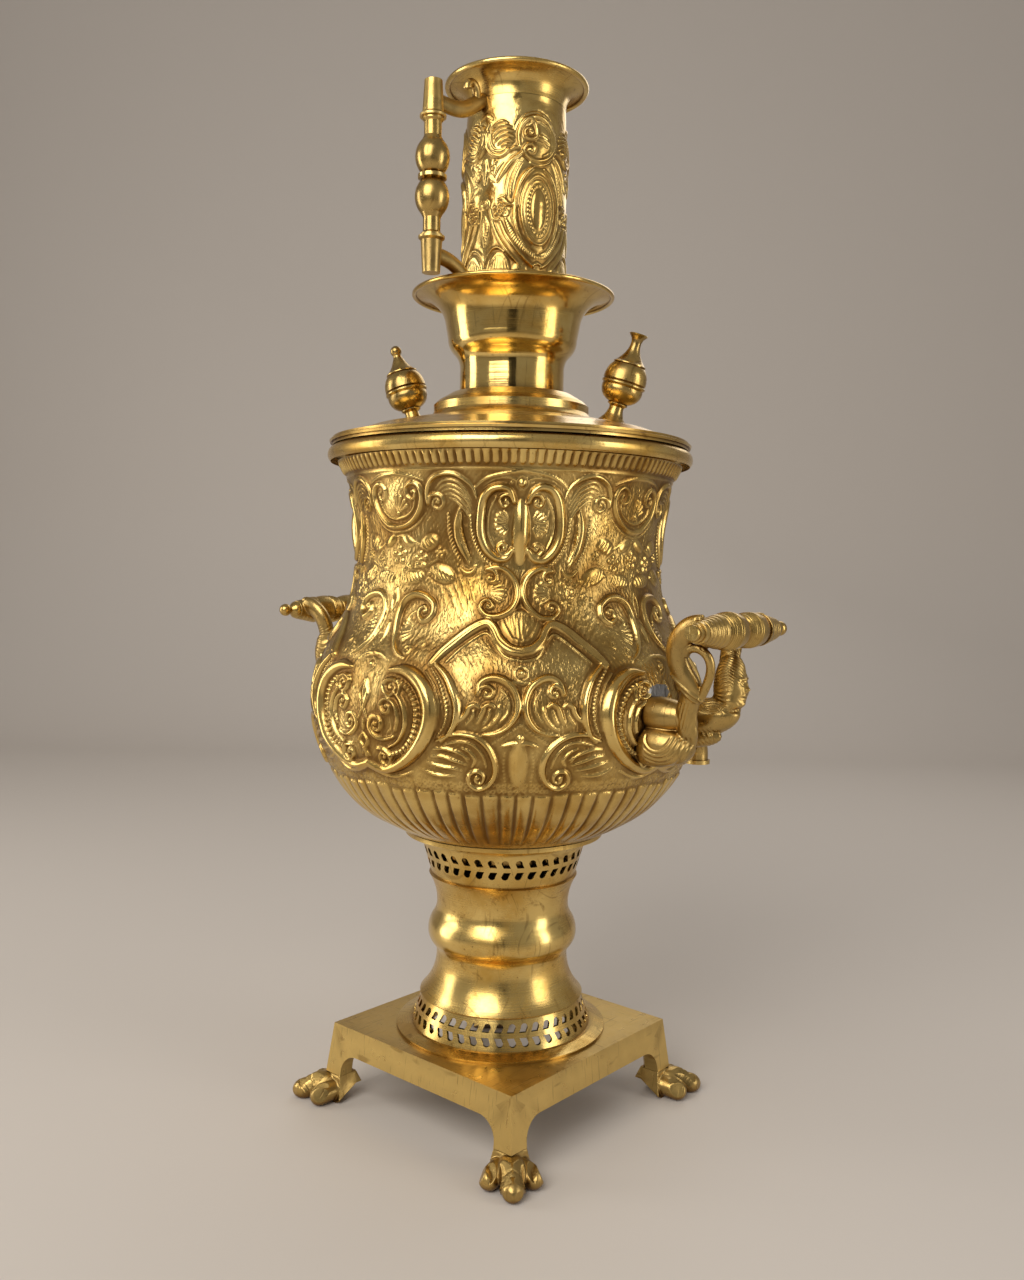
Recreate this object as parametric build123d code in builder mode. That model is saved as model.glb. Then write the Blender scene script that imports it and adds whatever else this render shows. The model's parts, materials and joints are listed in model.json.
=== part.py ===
"""Charcoal samovar of spun and cast brass.

A square footed stand carries a pierced pedestal, and the pedestal carries the water vessel.
A fire tube rises through the vessel from a grate in the pedestal. The lid lifts off round it,
a cup for the teapot stands on the lid, and a chimney pipe with a handle stands in the cup.

Millimetres. Z is up from the surface that the samovar stands on, the origin is on its vertical
axis, the tap points along -Y, the chimney handle along +Y and the side handles along X.
"""

import math
import os

from build123d import *

os.makedirs("parts", exist_ok=True)

# ---------------------------------------------------------------- driving dimensions

# Stand
stand_height = 47.0
stand_side = 146.0
stand_splay = 3.5  # how far each side leans out at the ankles
stand_plate_thickness = 4.0
stand_wall = 4.5
apron_depth = 16.0
ankle_height = 16.5
leg_width = 13.0
arch_radius = 12.5

# Paw feet
toe_reach = 129.0  # tip of the middle toe, from the axis
toe_girth = 16.0
toe_joint = 118.0  # the joint of the middle toe, from the axis
toe_tip_girth = 12.5
side_toe_girth = 12.0
side_toe_angle = 36.0
side_toe_length = 26.0
ankle_splay = 9.0  # degrees that the ankle widens by towards the floor
foot_pin_diameter = 5.0
foot_pin_length = 8.0

# Pedestal
pedestal_height = 124.0
sheet = 1.5  # brass sheet of the spun pieces
foot_flange_radius = 64.7
foot_flange_thickness = 3.3
lower_band_height = 20.5
lower_band_radius = 56.0
lower_band_top_radius = 49.5
waist_radius = 39.0
waist_rise = 46.0  # this height and the next two count from the pedestal's foot
bulge_radius = 44.5
bulge_rise = 60.0
upper_waist_radius = 39.2
upper_waist_rise = 77.5
upper_band_height = 25.0
upper_band_radius = 44.6
upper_band_top_radius = 55.5
collar_radius = 60.9
collar_thickness = 2.5
lower_slots = 44
upper_slots = 38
slot_width = 4.2
slot_length = 4.8
slot_tail = 1.3  # how far the pointed corner of a slot runs out sideways
slot_row_gap = 7.6

# Water vessel
vessel_height = 230.5
vessel_foot_radius = 60.0
belly_radius = 118.0
belly_height = 81.0  # above the vessel's foot
neck_radius = 91.9
neck_height = 162.0
mouth_radius = 96.2
mouth_height = 202.0
rim_radius = 110.0
rim_wire = 5.25
vessel_floor = 2.5
shoulder_share = 0.46  # the shoulder's part of the curve from belly to neck

# Fire tube and grate
tube_radius = 29.5
firebox_radius = 44.0
firebox_height = 14.0  # how far the firebox hangs below the vessel's foot
firebox_top = 24.0  # above the vessel's foot, where the taper starts
tube_taper_top = 128.0
tube_flange_width = 5.0
tube_flange_thickness = 2.0
tube_stand_out = 30.0  # above the lid's collar
grate_thickness = 4.0
grate_seat = 3.0
grate_slot = 5.0
grate_bar = 5.0

# Lid
lid_radius = 109.0
lid_gap = 1.5
lid_edge = 1.4
lid_height = 33.5  # from the rim to the collar's top
lid_slope_radius = 85.0
lid_slope_height = 11.2
lid_shoulder_radius = 56.5
lid_shoulder_height = 17.3
dome_radius = 47.0
dome_foot_height = 22.1
dome_straight = 4.4
dome_bevel = 2.5
dome_top_radius = 37.0
lid_seat_width = 5.0
lid_skirt_depth = 7.0
skirt_clearance = 1.0

# Lid knobs
knob_azimuth = 23.0
knob_ring_radius = 62.7
knob_lean = 16.5
knob_height = 53.0
knob_foot_radius = 7.5
knob_stem_radius = 3.6
knob_bulb_radius = 13.0
knob_bulb_height = 24.0  # of its widest band, above the lid
knob_tip_radius = 3.5
knob_trumpet_radius = 6.0
knob_trumpet_bore = 2.0
knob_screw_diameter = 4.0
knob_nut_width = 8.0
knob_nut_thickness = 3.0

# Teapot cup
cup_height = 60.0
cup_neck_radius = 31.5
cup_neck_height = 15.5
cup_bowl_radius = 39.0
cup_bowl_height = 33.0
cup_waist_top = 43.0
cup_waist_radius = 40.8
cup_rim_radius = 61.0
cup_lip = 2.6
cup_ledge_height = 21.5

# Chimney pipe
chimney_top = 182.6  # above the cup's foot
pipe_radius = 31.3
pipe_top_radius = 29.5
pipe_wall = 1.2
pipe_taper_height = 28.0
pipe_end_below_top = 15.0
mouth_flange_radius = 43.0
mouth_flange_lap = 2.0
mouth_roll = 1.6

# Chimney handle
grip_offset = 70.0  # axis of the grip, from the samovar's axis
grip_span = 104.5  # over both ferrules
ferrule_length = 20.0
ferrule_radius = 6.0
ferrule_end_radius = 5.0
ferrule_bore = 4.0
grip_tenon = 12.0
grip_neck_radius = 4.9
grip_bead_radius = 9.6
grip_ring_radius = 7.4
grip_drop = 19.0  # top of the upper ferrule, below the chimney's rim
bracket_thickness = 6.0
bracket_depth = 9.0
curl_radius = 2.6  # of the horn that curls up on the upper bracket

# Side handles
handle_reach = 160.0  # axis of the spindle, from the samovar's axis
handle_height = 300.0
eye_offset = 29.0  # from the middle of the spindle to each eye
eye_radius = 9.0
eye_taper = 11.0  # degrees that an eye narrows by towards its outer face
eye_width = 15.0
arm_foot_offset = 12.0
arm_foot_height = 245.0
arm_thickness = 9.0
arm_width = 12.0
loop_radius = 2.4
spindle_half_length = 45.5
spindle_journal_radius = 4.6
spindle_collar_radius = 5.8
spindle_bead_radius = 10.2
spindle_thin_radius = 9.7  # of the bead next to the ball
spindle_groove = 2.0
ball_radius = 4.1
ball_neck_radius = 2.3
journal_clearance = 0.06
egg_radius = 9.6
egg_rise = 8.5  # of the egg's axis, above the middle of the arm's foot
shell_radius = 12.0
shell_drop = 8.5
foot_reach = 143.0  # tip of the egg and the shell, from the samovar's axis
bust_radius = 10.5
head_radius = 9.4
claw_radius = 8.0
claw_reach = 145.0

# Tap
tap_height = 204.0
tap_reach = 170.0  # from the samovar's axis to the key's axis
tap_bore = 4.5
tap_pipe_radius = 8.0
tap_barrel_radius = 13.0
tap_barrel_height = 34.0
key_radius_top = 9.0
key_radius_bottom = 7.5
key_clearance = 0.05
key_stem_height = 10.0
key_wing_height = 34.0
key_wing_width = 40.0
key_wing_thickness = 5.0
spout_drop = 20.0
spout_reach = 55.0
spout_radius = 8.0
rosette_radius = 22.0
rosette_thickness = 3.0
tap_inside_length = 6.0
key_nut_width = 14.0
key_nut_thickness = 4.0

# Clearances
slip = 0.5  # round pieces that lift off one another
solder_gap = 0.1
seat_gap = 0.2

# ---------------------------------------------------------------- heights of the seats

pedestal_foot = stand_height
vessel_foot = pedestal_foot + pedestal_height
rim_top = vessel_foot + vessel_height
cup_foot = rim_top + lid_height
cup_rim_top = cup_foot + cup_height
pipe_seat = cup_foot + cup_ledge_height
chimney_rim_top = cup_foot + chimney_top


def around(radius, azimuth, height=0.0):
    """A point at a radius and azimuth (degrees) about the samovar's axis."""
    angle = math.radians(azimuth)
    return Vector(radius * math.cos(angle), radius * math.sin(angle), height)


def radial_plane(radius, azimuth, height=0.0):
    """A plane facing outwards: x runs round the axis, y up and z away from the axis."""
    return Plane(
        origin=around(radius, azimuth, height),
        x_dir=around(1, azimuth + 90),
        z_dir=around(1, azimuth),
    )


def ogee(start, end, share):
    """Two arcs in an S from start to end, upright at both ends; share is the first one's part."""
    across = end[0] - start[0]
    rise = end[1] - start[1]
    curve_sum = (across**2 + rise**2) / (2 * across)
    middle = (start[0] + share * across, start[1] + share * rise)
    RadiusArc(start, middle, share * curve_sum)
    RadiusArc(middle, end, -(1 - share) * curve_sum)


def write_piece(builder, name):
    """Label a finished piece and write it to its own file."""
    builder.part.label = name
    export_step(builder.part, f"parts/{name}.step")


# ---------------------------------------------------------------- stand

ankle_side = stand_side + 2 * stand_splay
splay_angle = math.degrees(math.atan(stand_splay / (stand_height - ankle_height)))
hollow_side = stand_side - 2 * stand_wall
hollow_corner = 4 * stand_wall
ankle_radius = (ankle_side - leg_width) / math.sqrt(2)
arch_height = stand_height - apron_depth
foot_azimuths = {"back_right": 45, "back_left": 135, "front_left": 225, "front_right": 315}
foot_spots = [around(ankle_radius, azimuth) for azimuth in foot_azimuths.values()]

with BuildPart() as base_stand:
    with BuildSketch(Plane.XY.offset(stand_height)):
        Rectangle(stand_side, stand_side)
    extrude(amount=ankle_height - stand_height, taper=-splay_angle)
    with BuildSketch(Plane.XY.offset(stand_height - stand_plate_thickness)):
        RectangleRounded(hollow_side, hollow_side, hollow_corner)
    extrude(amount=-stand_height, taper=-splay_angle, mode=Mode.SUBTRACT)
    for side_plane in (Plane.XZ, Plane.YZ):
        with BuildSketch(side_plane) as arch:
            with Locations((0, ankle_height)):
                Rectangle(ankle_side - 2 * leg_width, 2 * (arch_height - ankle_height))
            fillet(arch.vertices().group_by(Axis.Y)[-1], arch_radius)
        extrude(amount=stand_side, both=True, mode=Mode.SUBTRACT)
    with Locations((0, 0, stand_height)):
        Hole(firebox_radius)
    with BuildSketch(Plane.XY.offset(ankle_height)):
        with Locations(*foot_spots):
            Circle(foot_pin_diameter / 2 + solder_gap)
    extrude(amount=foot_pin_length + seat_gap, mode=Mode.SUBTRACT)

write_piece(base_stand, "base_stand")


def toe_profile(length, girth):
    """Half of a long oval along x, from the origin, to be turned about x."""
    with BuildSketch() as half_oval:
        with BuildLine():
            EllipticalCenterArc((length / 2, 0), length / 2, girth / 2, start_angle=0, arc_size=180)
            Line((0, 0), (length, 0))
        make_face()
    return half_oval.sketch


def toe_plane(spot, azimuth, droop):
    """A plane whose x runs along a toe that droops towards its tip."""
    level = around(1, azimuth)
    fall = math.radians(droop)
    along = Vector(level.X * math.cos(fall), level.Y * math.cos(fall), -math.sin(fall))
    return Plane(origin=spot, x_dir=along, z_dir=around(1, azimuth + 90))


def finger_profile(length, girth):
    """Half of a round-ended bar along x, from the origin, to be turned about x."""
    end = girth / 2
    with BuildSketch() as half_bar:
        with BuildLine():
            CenterArc((end, 0), end, start_angle=90, arc_size=90)
            Line((end, end), (length - end, end))
            CenterArc((length - end, 0), end, start_angle=0, arc_size=90)
            Line((length, 0), (0, 0))
        make_face()
    return half_bar.sketch


instep_height = 0.62 * toe_girth
instep_length = 1.4 * toe_girth
tip_overlap = 0.4 * toe_tip_girth
tip_height = 0.58 * toe_tip_girth
side_toe_height = 0.7 * side_toe_girth

for foot_name, azimuth in foot_azimuths.items():
    ankle = around(ankle_radius, azimuth, ankle_height)
    ankle_plane = Plane(origin=ankle, x_dir=around(1, azimuth - 45), z_dir=(0, 0, 1))
    with BuildPart() as foot:
        with BuildSketch(ankle_plane):
            Rectangle(leg_width, leg_width)
        extrude(amount=-ankle_height, taper=-ankle_splay)
        instep_spot = around(toe_joint - instep_length, azimuth, instep_height)
        instep_plane = toe_plane(instep_spot, azimuth, 6)
        with BuildSketch(instep_plane):
            add(toe_profile(instep_length + tip_overlap, toe_girth))
        revolve(axis=Axis(instep_plane.origin, instep_plane.x_dir))
        tip_plane = toe_plane(around(toe_joint - tip_overlap, azimuth, tip_height), azimuth, 12)
        with BuildSketch(tip_plane):
            add(toe_profile(toe_reach - toe_joint + tip_overlap, toe_tip_girth))
        revolve(axis=Axis(tip_plane.origin, tip_plane.x_dir))
        for side in (-1, 1):
            side_plane = toe_plane(
                around(ankle_radius - side_toe_girth / 3, azimuth, side_toe_height),
                azimuth + side * side_toe_angle,
                7,
            )
            with BuildSketch(side_plane):
                add(finger_profile(side_toe_length, side_toe_girth))
            revolve(axis=Axis(side_plane.origin, side_plane.x_dir))
        split(bisect_by=Plane.XY, keep=Keep.TOP)
        with BuildSketch(Plane.XY.offset(ankle_height - seat_gap)):
            with Locations(ankle):
                Circle(foot_pin_diameter / 2)
        extrude(amount=foot_pin_length + seat_gap)
    write_piece(foot, f"paw_foot_{foot_name}")


# ---------------------------------------------------------------- pedestal

lower_band_top = pedestal_foot + lower_band_height
upper_band_foot = vessel_foot - collar_thickness - upper_band_height
waist_height = pedestal_foot + waist_rise
bulge_height = pedestal_foot + bulge_rise
upper_waist_height = pedestal_foot + upper_waist_rise


def pierce(inner_radius, outer_radius, height, count, tilt, tail):
    """Cut one row of leaf-shaped slots, round towards the tilt, with a pointed corner behind."""
    step = 360 / count
    faces = [radial_plane(inner_radius, step * index, height) for index in range(count)]
    half = slot_width / 2
    tip = tilt * slot_length / 2
    shoulder = tip - tilt * half
    out = math.copysign(half, tail)
    with BuildSketch(*faces) as slots:
        with BuildLine():
            ThreePointArc((out, shoulder), (0, tip), (-out, shoulder))
            Polyline(
                (-out, shoulder),
                (tail - out, -tip),
                (tail + out, -tip),
                (out, shoulder),
            )
        make_face()
    extrude(slots.sketch, amount=outer_radius - inner_radius, mode=Mode.SUBTRACT)


with BuildPart() as pierced_foot_band:
    with BuildSketch(Plane.XZ):
        with BuildLine():
            Line(
                (lower_band_radius, pedestal_foot + foot_flange_thickness / 2),
                (lower_band_top_radius, lower_band_top),
            )
            offset(amount=sheet, side=Side.LEFT)
        make_face()
        with BuildLine():
            Polyline(
                (lower_band_radius - 2 * sheet, pedestal_foot),
                (foot_flange_radius, pedestal_foot),
                (foot_flange_radius, pedestal_foot + foot_flange_thickness / 2),
                (lower_band_radius + sheet, pedestal_foot + foot_flange_thickness),
                (lower_band_radius - 2 * sheet, pedestal_foot + foot_flange_thickness),
                close=True,
            )
        make_face()
    revolve(axis=Axis.Z)
    band_middle = (pedestal_foot + foot_flange_thickness + lower_band_top) / 2
    for row in (1, -1):
        row_height = band_middle + row * slot_row_gap / 2
        pierce(waist_radius, foot_flange_radius, row_height, lower_slots, row, -slot_tail)

write_piece(pierced_foot_band, "pierced_foot_band")

with BuildPart() as pedestal_column:
    with BuildSketch(Plane.XZ):
        with BuildLine():
            lower_waist = (waist_radius, waist_height)
            bulge = (bulge_radius, bulge_height)
            upper_waist = (upper_waist_radius, upper_waist_height)
            TangentArc(lower_waist, (lower_band_top_radius, lower_band_top), tangent=(0, -1))
            ogee(lower_waist, bulge, 0.5)
            ogee(bulge, upper_waist, 0.5)
            TangentArc(upper_waist, (upper_band_radius, upper_band_foot), tangent=(0, 1))
            offset(amount=sheet, side=Side.LEFT)
        make_face()
    revolve(axis=Axis.Z)

write_piece(pedestal_column, "pedestal_column")

with BuildPart() as pierced_top_band:
    with BuildSketch(Plane.XZ):
        with BuildLine():
            flare_foot = upper_band_foot + 0.75 * upper_band_height
            flare_foot_radius = (upper_band_radius + upper_band_top_radius) / 2
            band_line = Line(
                (upper_band_radius, upper_band_foot),
                (flare_foot_radius, flare_foot),
            )
            TangentArc(
                (flare_foot_radius, flare_foot),
                (upper_band_top_radius, vessel_foot - collar_thickness),
                tangent=band_line % 1,
            )
            offset(amount=sheet, side=Side.LEFT)
        make_face()
        with BuildLine():
            Polyline(
                (firebox_radius + slip, vessel_foot - collar_thickness),
                (collar_radius, vessel_foot - collar_thickness),
                (collar_radius, vessel_foot),
                (firebox_radius + slip, vessel_foot),
                close=True,
            )
        make_face()
    revolve(axis=Axis.Z)
    upper_middle = upper_band_foot + 0.47 * upper_band_height
    for row in (1, -1):
        row_height = upper_middle + row * slot_row_gap / 2
        pierce(waist_radius, collar_radius, row_height, upper_slots, row, slot_tail)

write_piece(pierced_top_band, "pierced_top_band")


# ---------------------------------------------------------------- water vessel

belly_top = vessel_foot + belly_height
neck_level = vessel_foot + neck_height
mouth_level = vessel_foot + mouth_height
rim_middle = rim_top - rim_wire
flare_radius = rim_radius - 1.15 * rim_wire
flare_level = rim_top - 1.7 * rim_wire

foot_inset = belly_radius - vessel_foot_radius
bowl_radius = (foot_inset**2 + belly_height**2) / (2 * foot_inset)
mouth_inset = mouth_radius - neck_radius
mouth_rise = mouth_height - neck_height
mouth_curve = (mouth_inset**2 + mouth_rise**2) / (2 * mouth_inset)


def vessel_outline():
    """The vessel's outer line, from its foot up to the flare under the rim."""
    RadiusArc((vessel_foot_radius, vessel_foot), (belly_radius, belly_top), -bowl_radius)
    ogee((belly_radius, belly_top), (neck_radius, neck_level), shoulder_share)
    upper_neck = RadiusArc((neck_radius, neck_level), (mouth_radius, mouth_level), mouth_curve)
    TangentArc((mouth_radius, mouth_level), (flare_radius, flare_level), tangent=upper_neck % 1)


with BuildPart() as vessel_body:
    with BuildSketch(Plane.XZ):
        with BuildLine():
            vessel_outline()
            offset(amount=sheet, side=Side.LEFT)
        make_face()
        with Locations((rim_radius - rim_wire, rim_middle)):
            Circle(rim_wire)
        with Locations((firebox_radius + solder_gap, vessel_foot)):
            Rectangle(
                vessel_foot_radius - firebox_radius - solder_gap,
                vessel_floor,
                align=(Align.MIN, Align.MIN),
            )
    revolve(axis=Axis.Z)

with BuildPart() as vessel_envelope:
    with BuildSketch(Plane.XZ):
        with BuildLine():
            vessel_outline()
            Polyline(
                (flare_radius, flare_level),
                (0, flare_level),
                (0, vessel_foot),
                (vessel_foot_radius, vessel_foot),
            )
        make_face()
    revolve(axis=Axis.Z)


# ---------------------------------------------------------------- fire tube and grate

tube_bottom = vessel_foot - firebox_height
tube_top = cup_foot + tube_stand_out
firebox_shoulder = vessel_foot + firebox_top
taper_top = vessel_foot + tube_taper_top

with BuildPart() as fire_tube:
    with BuildSketch(Plane.XZ):
        with BuildLine():
            Polyline(
                (tube_radius, tube_top),
                (tube_radius, taper_top),
                (firebox_radius, firebox_shoulder),
                (firebox_radius, tube_bottom),
                (firebox_radius - sheet - grate_seat, tube_bottom),
                (firebox_radius - sheet - grate_seat, tube_bottom + sheet),
                (firebox_radius - sheet, tube_bottom + sheet),
                (firebox_radius - sheet, firebox_shoulder),
                (tube_radius - sheet, taper_top),
                (tube_radius - sheet, tube_top),
                close=True,
            )
        make_face()
        with Locations((firebox_radius, vessel_foot + vessel_floor)):
            Rectangle(tube_flange_width, tube_flange_thickness, align=(Align.MIN, Align.MIN))
    revolve(axis=Axis.Z)

write_piece(fire_tube, "fire_tube")

grate_radius = firebox_radius - sheet - slip
grate_level = tube_bottom + sheet
grate_pitch = grate_slot + grate_bar
grate_rows = int((grate_radius - grate_bar) / grate_pitch)

with BuildPart() as grate:
    with BuildSketch(Plane.XY.offset(grate_level)):
        Circle(grate_radius)
        for row in range(-grate_rows, grate_rows + 1):
            reach = math.sqrt((grate_radius - grate_bar) ** 2 - (row * grate_pitch) ** 2)
            with Locations((0, row * grate_pitch)):
                Rectangle(2 * reach, grate_slot, mode=Mode.SUBTRACT)
        Rectangle(grate_bar, 2 * grate_radius - grate_bar)
    extrude(amount=grate_thickness)

write_piece(grate, "grate")


# ---------------------------------------------------------------- lid

lid_edge_level = rim_top + lid_gap
slope_level = rim_top + lid_slope_height
shoulder_level = rim_top + lid_shoulder_height
dome_foot_level = rim_top + dome_foot_height
dome_turn_level = dome_foot_level + dome_straight
skirt_radius = rim_radius - 2 * rim_wire - skirt_clearance
lid_fall = (slope_level - lid_edge_level - lid_edge) / (lid_radius - lid_slope_radius)


def lid_outline():
    """The lid's upper line, from its edge to the hole round the fire tube."""
    Line((lid_radius, lid_edge_level + lid_edge), (lid_slope_radius, slope_level))
    Line((lid_slope_radius, slope_level), (lid_shoulder_radius, shoulder_level))
    RadiusArc(
        (lid_shoulder_radius, shoulder_level),
        (dome_radius, dome_foot_level),
        lid_shoulder_radius - dome_radius,
    )
    Polyline(
        (dome_radius, dome_foot_level),
        (dome_radius, dome_turn_level),
        (dome_radius - dome_bevel, dome_turn_level + dome_bevel),
        (dome_top_radius, cup_foot),
        (tube_radius + slip, cup_foot),
    )


with BuildPart() as lid:
    with BuildSketch(Plane.XZ):
        with BuildLine():
            lid_outline()
            offset(amount=lid_edge, side=Side.LEFT)
        make_face()
        with Locations((skirt_radius, rim_top - lid_skirt_depth)):
            Rectangle(sheet, lid_skirt_depth + lid_gap + lid_edge, align=(Align.MAX, Align.MIN))
        with Locations((rim_radius - rim_wire, rim_top)):
            Rectangle(
                lid_seat_width, lid_gap + lid_edge + rim_wire * lid_fall, align=(Align.CENTER, Align.MIN)
            )
        with Locations((skirt_radius - sheet, rim_top + lid_gap)):
            Rectangle(
                rim_radius - rim_wire - skirt_radius + sheet, lid_edge, align=(Align.MIN, Align.MIN)
            )
    revolve(axis=Axis.Z)

with BuildPart() as lid_envelope:
    with BuildSketch(Plane.XZ):
        with BuildLine():
            lid_outline()
            Polyline(
                (tube_radius + slip, cup_foot),
                (0, cup_foot),
                (0, rim_top),
                (lid_radius, rim_top),
                (lid_radius, lid_edge_level + lid_edge),
            )
        make_face()
    revolve(axis=Axis.Z)


# ---------------------------------------------------------------- lid knobs

slope_share = (lid_slope_radius - knob_ring_radius) / (lid_slope_radius - lid_shoulder_radius)
knob_level = slope_level + slope_share * (shoulder_level - slope_level)
knob_bulb_half = knob_bulb_radius * 0.8
knob_collar = knob_foot_radius * 0.35
knob_lift = math.radians(knob_lean)


def knob_plane(azimuth):
    """The plane of a knob's foot, its z along the knob, which leans outwards."""
    along = around(math.sin(knob_lift), azimuth) + Vector(0, 0, math.cos(knob_lift))
    return Plane(
        origin=around(knob_ring_radius, azimuth, knob_level),
        x_dir=around(1, azimuth + 90),
        z_dir=along,
    )


def knob_outline(trumpet):
    """Half of a knob's outline: foot, stem, banded bulb and a ball or a trumpet at the tip."""
    bulb_foot = knob_bulb_height - knob_bulb_half
    bulb_top = knob_bulb_height + knob_bulb_half
    band = knob_collar / 2
    stem = knob_stem_radius
    with BuildSketch() as half_knob:
        with BuildLine():
            Polyline(
                (0, -knob_collar),
                (knob_foot_radius, -knob_collar),
                (knob_foot_radius, knob_collar),
            )
            RadiusArc((knob_foot_radius, knob_collar), (stem, bulb_foot - band), 3 * knob_foot_radius)
            Polyline(
                (stem, bulb_foot - band),
                (stem + band, bulb_foot - band),
                (stem + band, bulb_foot + band),
            )
            ThreePointArc(
                (stem + band, bulb_foot + band),
                (knob_bulb_radius - 1.2 * band, knob_bulb_height - 0.45 * knob_bulb_half),
                (knob_bulb_radius - band, knob_bulb_height - band),
            )
            Polyline(
                (knob_bulb_radius - band, knob_bulb_height - band),
                (knob_bulb_radius, knob_bulb_height - band / 2),
                (knob_bulb_radius, knob_bulb_height + band / 2),
                (knob_bulb_radius - band, knob_bulb_height + band),
            )
            ThreePointArc(
                (knob_bulb_radius - band, knob_bulb_height + band),
                (knob_bulb_radius - 1.2 * band, knob_bulb_height + 0.45 * knob_bulb_half),
                (stem + 2 * band, bulb_top),
            )
            if trumpet:
                Line((stem + 2 * band, bulb_top), (stem, bulb_top + band))
                RadiusArc((stem, bulb_top + band), (knob_trumpet_radius, knob_height), 2 * knob_height)
                Polyline(
                    (knob_trumpet_radius, knob_height),
                    (knob_trumpet_bore, knob_height),
                    (knob_trumpet_bore, bulb_top + stem),
                    (0, bulb_top + stem),
                    (0, -knob_collar),
                )
            else:
                neck = knob_tip_radius / 2
                tip_middle = knob_height - knob_tip_radius
                tip_foot = tip_middle - math.sqrt(knob_tip_radius**2 - neck**2)
                Line((stem + 2 * band, bulb_top), (stem, bulb_top + band))
                RadiusArc((stem, bulb_top + band), (neck, tip_foot), 2 * knob_height)
                ThreePointArc(
                    (neck, tip_foot), (knob_tip_radius, tip_middle), (0, knob_height)
                )
                Line((0, knob_height), (0, -knob_collar))
        make_face()
    return half_knob.sketch


knob_azimuths = {"trumpet": knob_azimuth + 180, "ball": knob_azimuth}
for tip_name, azimuth in knob_azimuths.items():
    foot_plane = knob_plane(azimuth)
    nut_level = -(lid_edge + seat_gap) - knob_collar / 2
    with BuildPart() as knob:
        with BuildSketch(Plane(foot_plane.origin, x_dir=foot_plane.x_dir, z_dir=-foot_plane.y_dir)):
            add(knob_outline(tip_name == "trumpet"))
        revolve(axis=Axis(foot_plane.origin, foot_plane.z_dir))
        add(lid_envelope.part, mode=Mode.SUBTRACT)
        with BuildSketch(foot_plane.offset(knob_collar)):
            Circle(knob_screw_diameter / 2)
        extrude(amount=nut_level - knob_nut_thickness - knob_collar)
    write_piece(knob, f"lid_knob_{tip_name}")
    with BuildPart() as knob_nut:
        with BuildSketch(foot_plane.offset(nut_level)):
            RegularPolygon(knob_nut_width / 2, 6, major_radius=False)
            Circle(knob_screw_diameter / 2 + solder_gap, mode=Mode.SUBTRACT)
        extrude(amount=-knob_nut_thickness)
    write_piece(knob_nut, f"lid_knob_nut_{tip_name}")

with BuildPart() as drilled_lid:
    add(lid.part)
    for azimuth in knob_azimuths.values():
        with BuildSketch(knob_plane(azimuth).offset(-knob_foot_radius)):
            Circle(knob_screw_diameter / 2 + solder_gap)
        extrude(amount=2 * knob_foot_radius, mode=Mode.SUBTRACT)

write_piece(drilled_lid, "lid")


# ---------------------------------------------------------------- teapot cup

neck_top = cup_foot + cup_neck_height
bowl_top = cup_foot + cup_bowl_height
waist_top = cup_foot + cup_waist_top

with BuildPart() as teapot_cup:
    with BuildSketch(Plane.XZ):
        with BuildLine():
            Line((cup_neck_radius, cup_foot), (cup_neck_radius, neck_top))
            ogee((cup_neck_radius, neck_top), (cup_bowl_radius, bowl_top), 0.5)
            Line((cup_bowl_radius, bowl_top), (cup_waist_radius, waist_top))
            TangentArc(
                (cup_waist_radius, waist_top),
                (cup_rim_radius - cup_lip / 2, cup_rim_top - cup_lip / 2),
                tangent=(cup_waist_radius - cup_bowl_radius, waist_top - bowl_top),
            )
            offset(amount=sheet, side=Side.LEFT)
        make_face()
        with BuildLine():
            Polyline(
                (tube_radius + slip, cup_foot),
                (cup_neck_radius, cup_foot),
                (cup_neck_radius, pipe_seat - sheet),
                (cup_neck_radius + sheet, pipe_seat),
                (tube_radius + slip, pipe_seat),
                close=True,
            )
        make_face()
        with Locations((cup_rim_radius - cup_lip / 2, cup_rim_top - cup_lip / 2)):
            Circle(cup_lip / 2)
    revolve(axis=Axis.Z)

write_piece(teapot_cup, "teapot_cup")


# ---------------------------------------------------------------- chimney

pipe_top = chimney_rim_top - pipe_end_below_top
pipe_taper = pipe_top - pipe_taper_height

with BuildPart() as chimney_pipe:
    with BuildSketch(Plane.XZ):
        with BuildLine():
            Polyline(
                (pipe_radius, pipe_seat),
                (pipe_radius, pipe_taper),
                (pipe_top_radius, pipe_top),
                (pipe_top_radius - pipe_wall, pipe_top),
                (pipe_radius - pipe_wall, pipe_taper),
                (pipe_radius - pipe_wall, pipe_seat),
                close=True,
            )
        make_face()
    revolve(axis=Axis.Z)

write_piece(chimney_pipe, "chimney_pipe")

with BuildPart() as pipe_envelope:
    with BuildSketch(Plane.XZ):
        with BuildLine():
            Polyline(
                (0, pipe_seat),
                (pipe_radius, pipe_seat),
                (pipe_radius, pipe_taper),
                (pipe_top_radius, pipe_top),
                (pipe_top_radius, chimney_rim_top),
                (0, chimney_rim_top),
                close=True,
            )
        make_face()
    revolve(axis=Axis.Z)

collar_inner = pipe_top_radius + solder_gap

with BuildPart() as chimney_mouth:
    with BuildSketch(Plane.XZ):
        with BuildLine():
            Line((collar_inner, pipe_top), (collar_inner, pipe_top + mouth_flange_lap))
            TangentArc(
                (collar_inner, pipe_top + mouth_flange_lap),
                (mouth_flange_radius - mouth_roll, chimney_rim_top - mouth_roll),
                tangent=(0, 1),
            )
            offset(amount=pipe_wall, side=Side.LEFT)
        make_face()
        with Locations((mouth_flange_radius - mouth_roll, chimney_rim_top - mouth_roll)):
            Circle(mouth_roll)
    revolve(axis=Axis.Z)

write_piece(chimney_mouth, "chimney_mouth")


# ---------------------------------------------------------------- chimney handle

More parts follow.
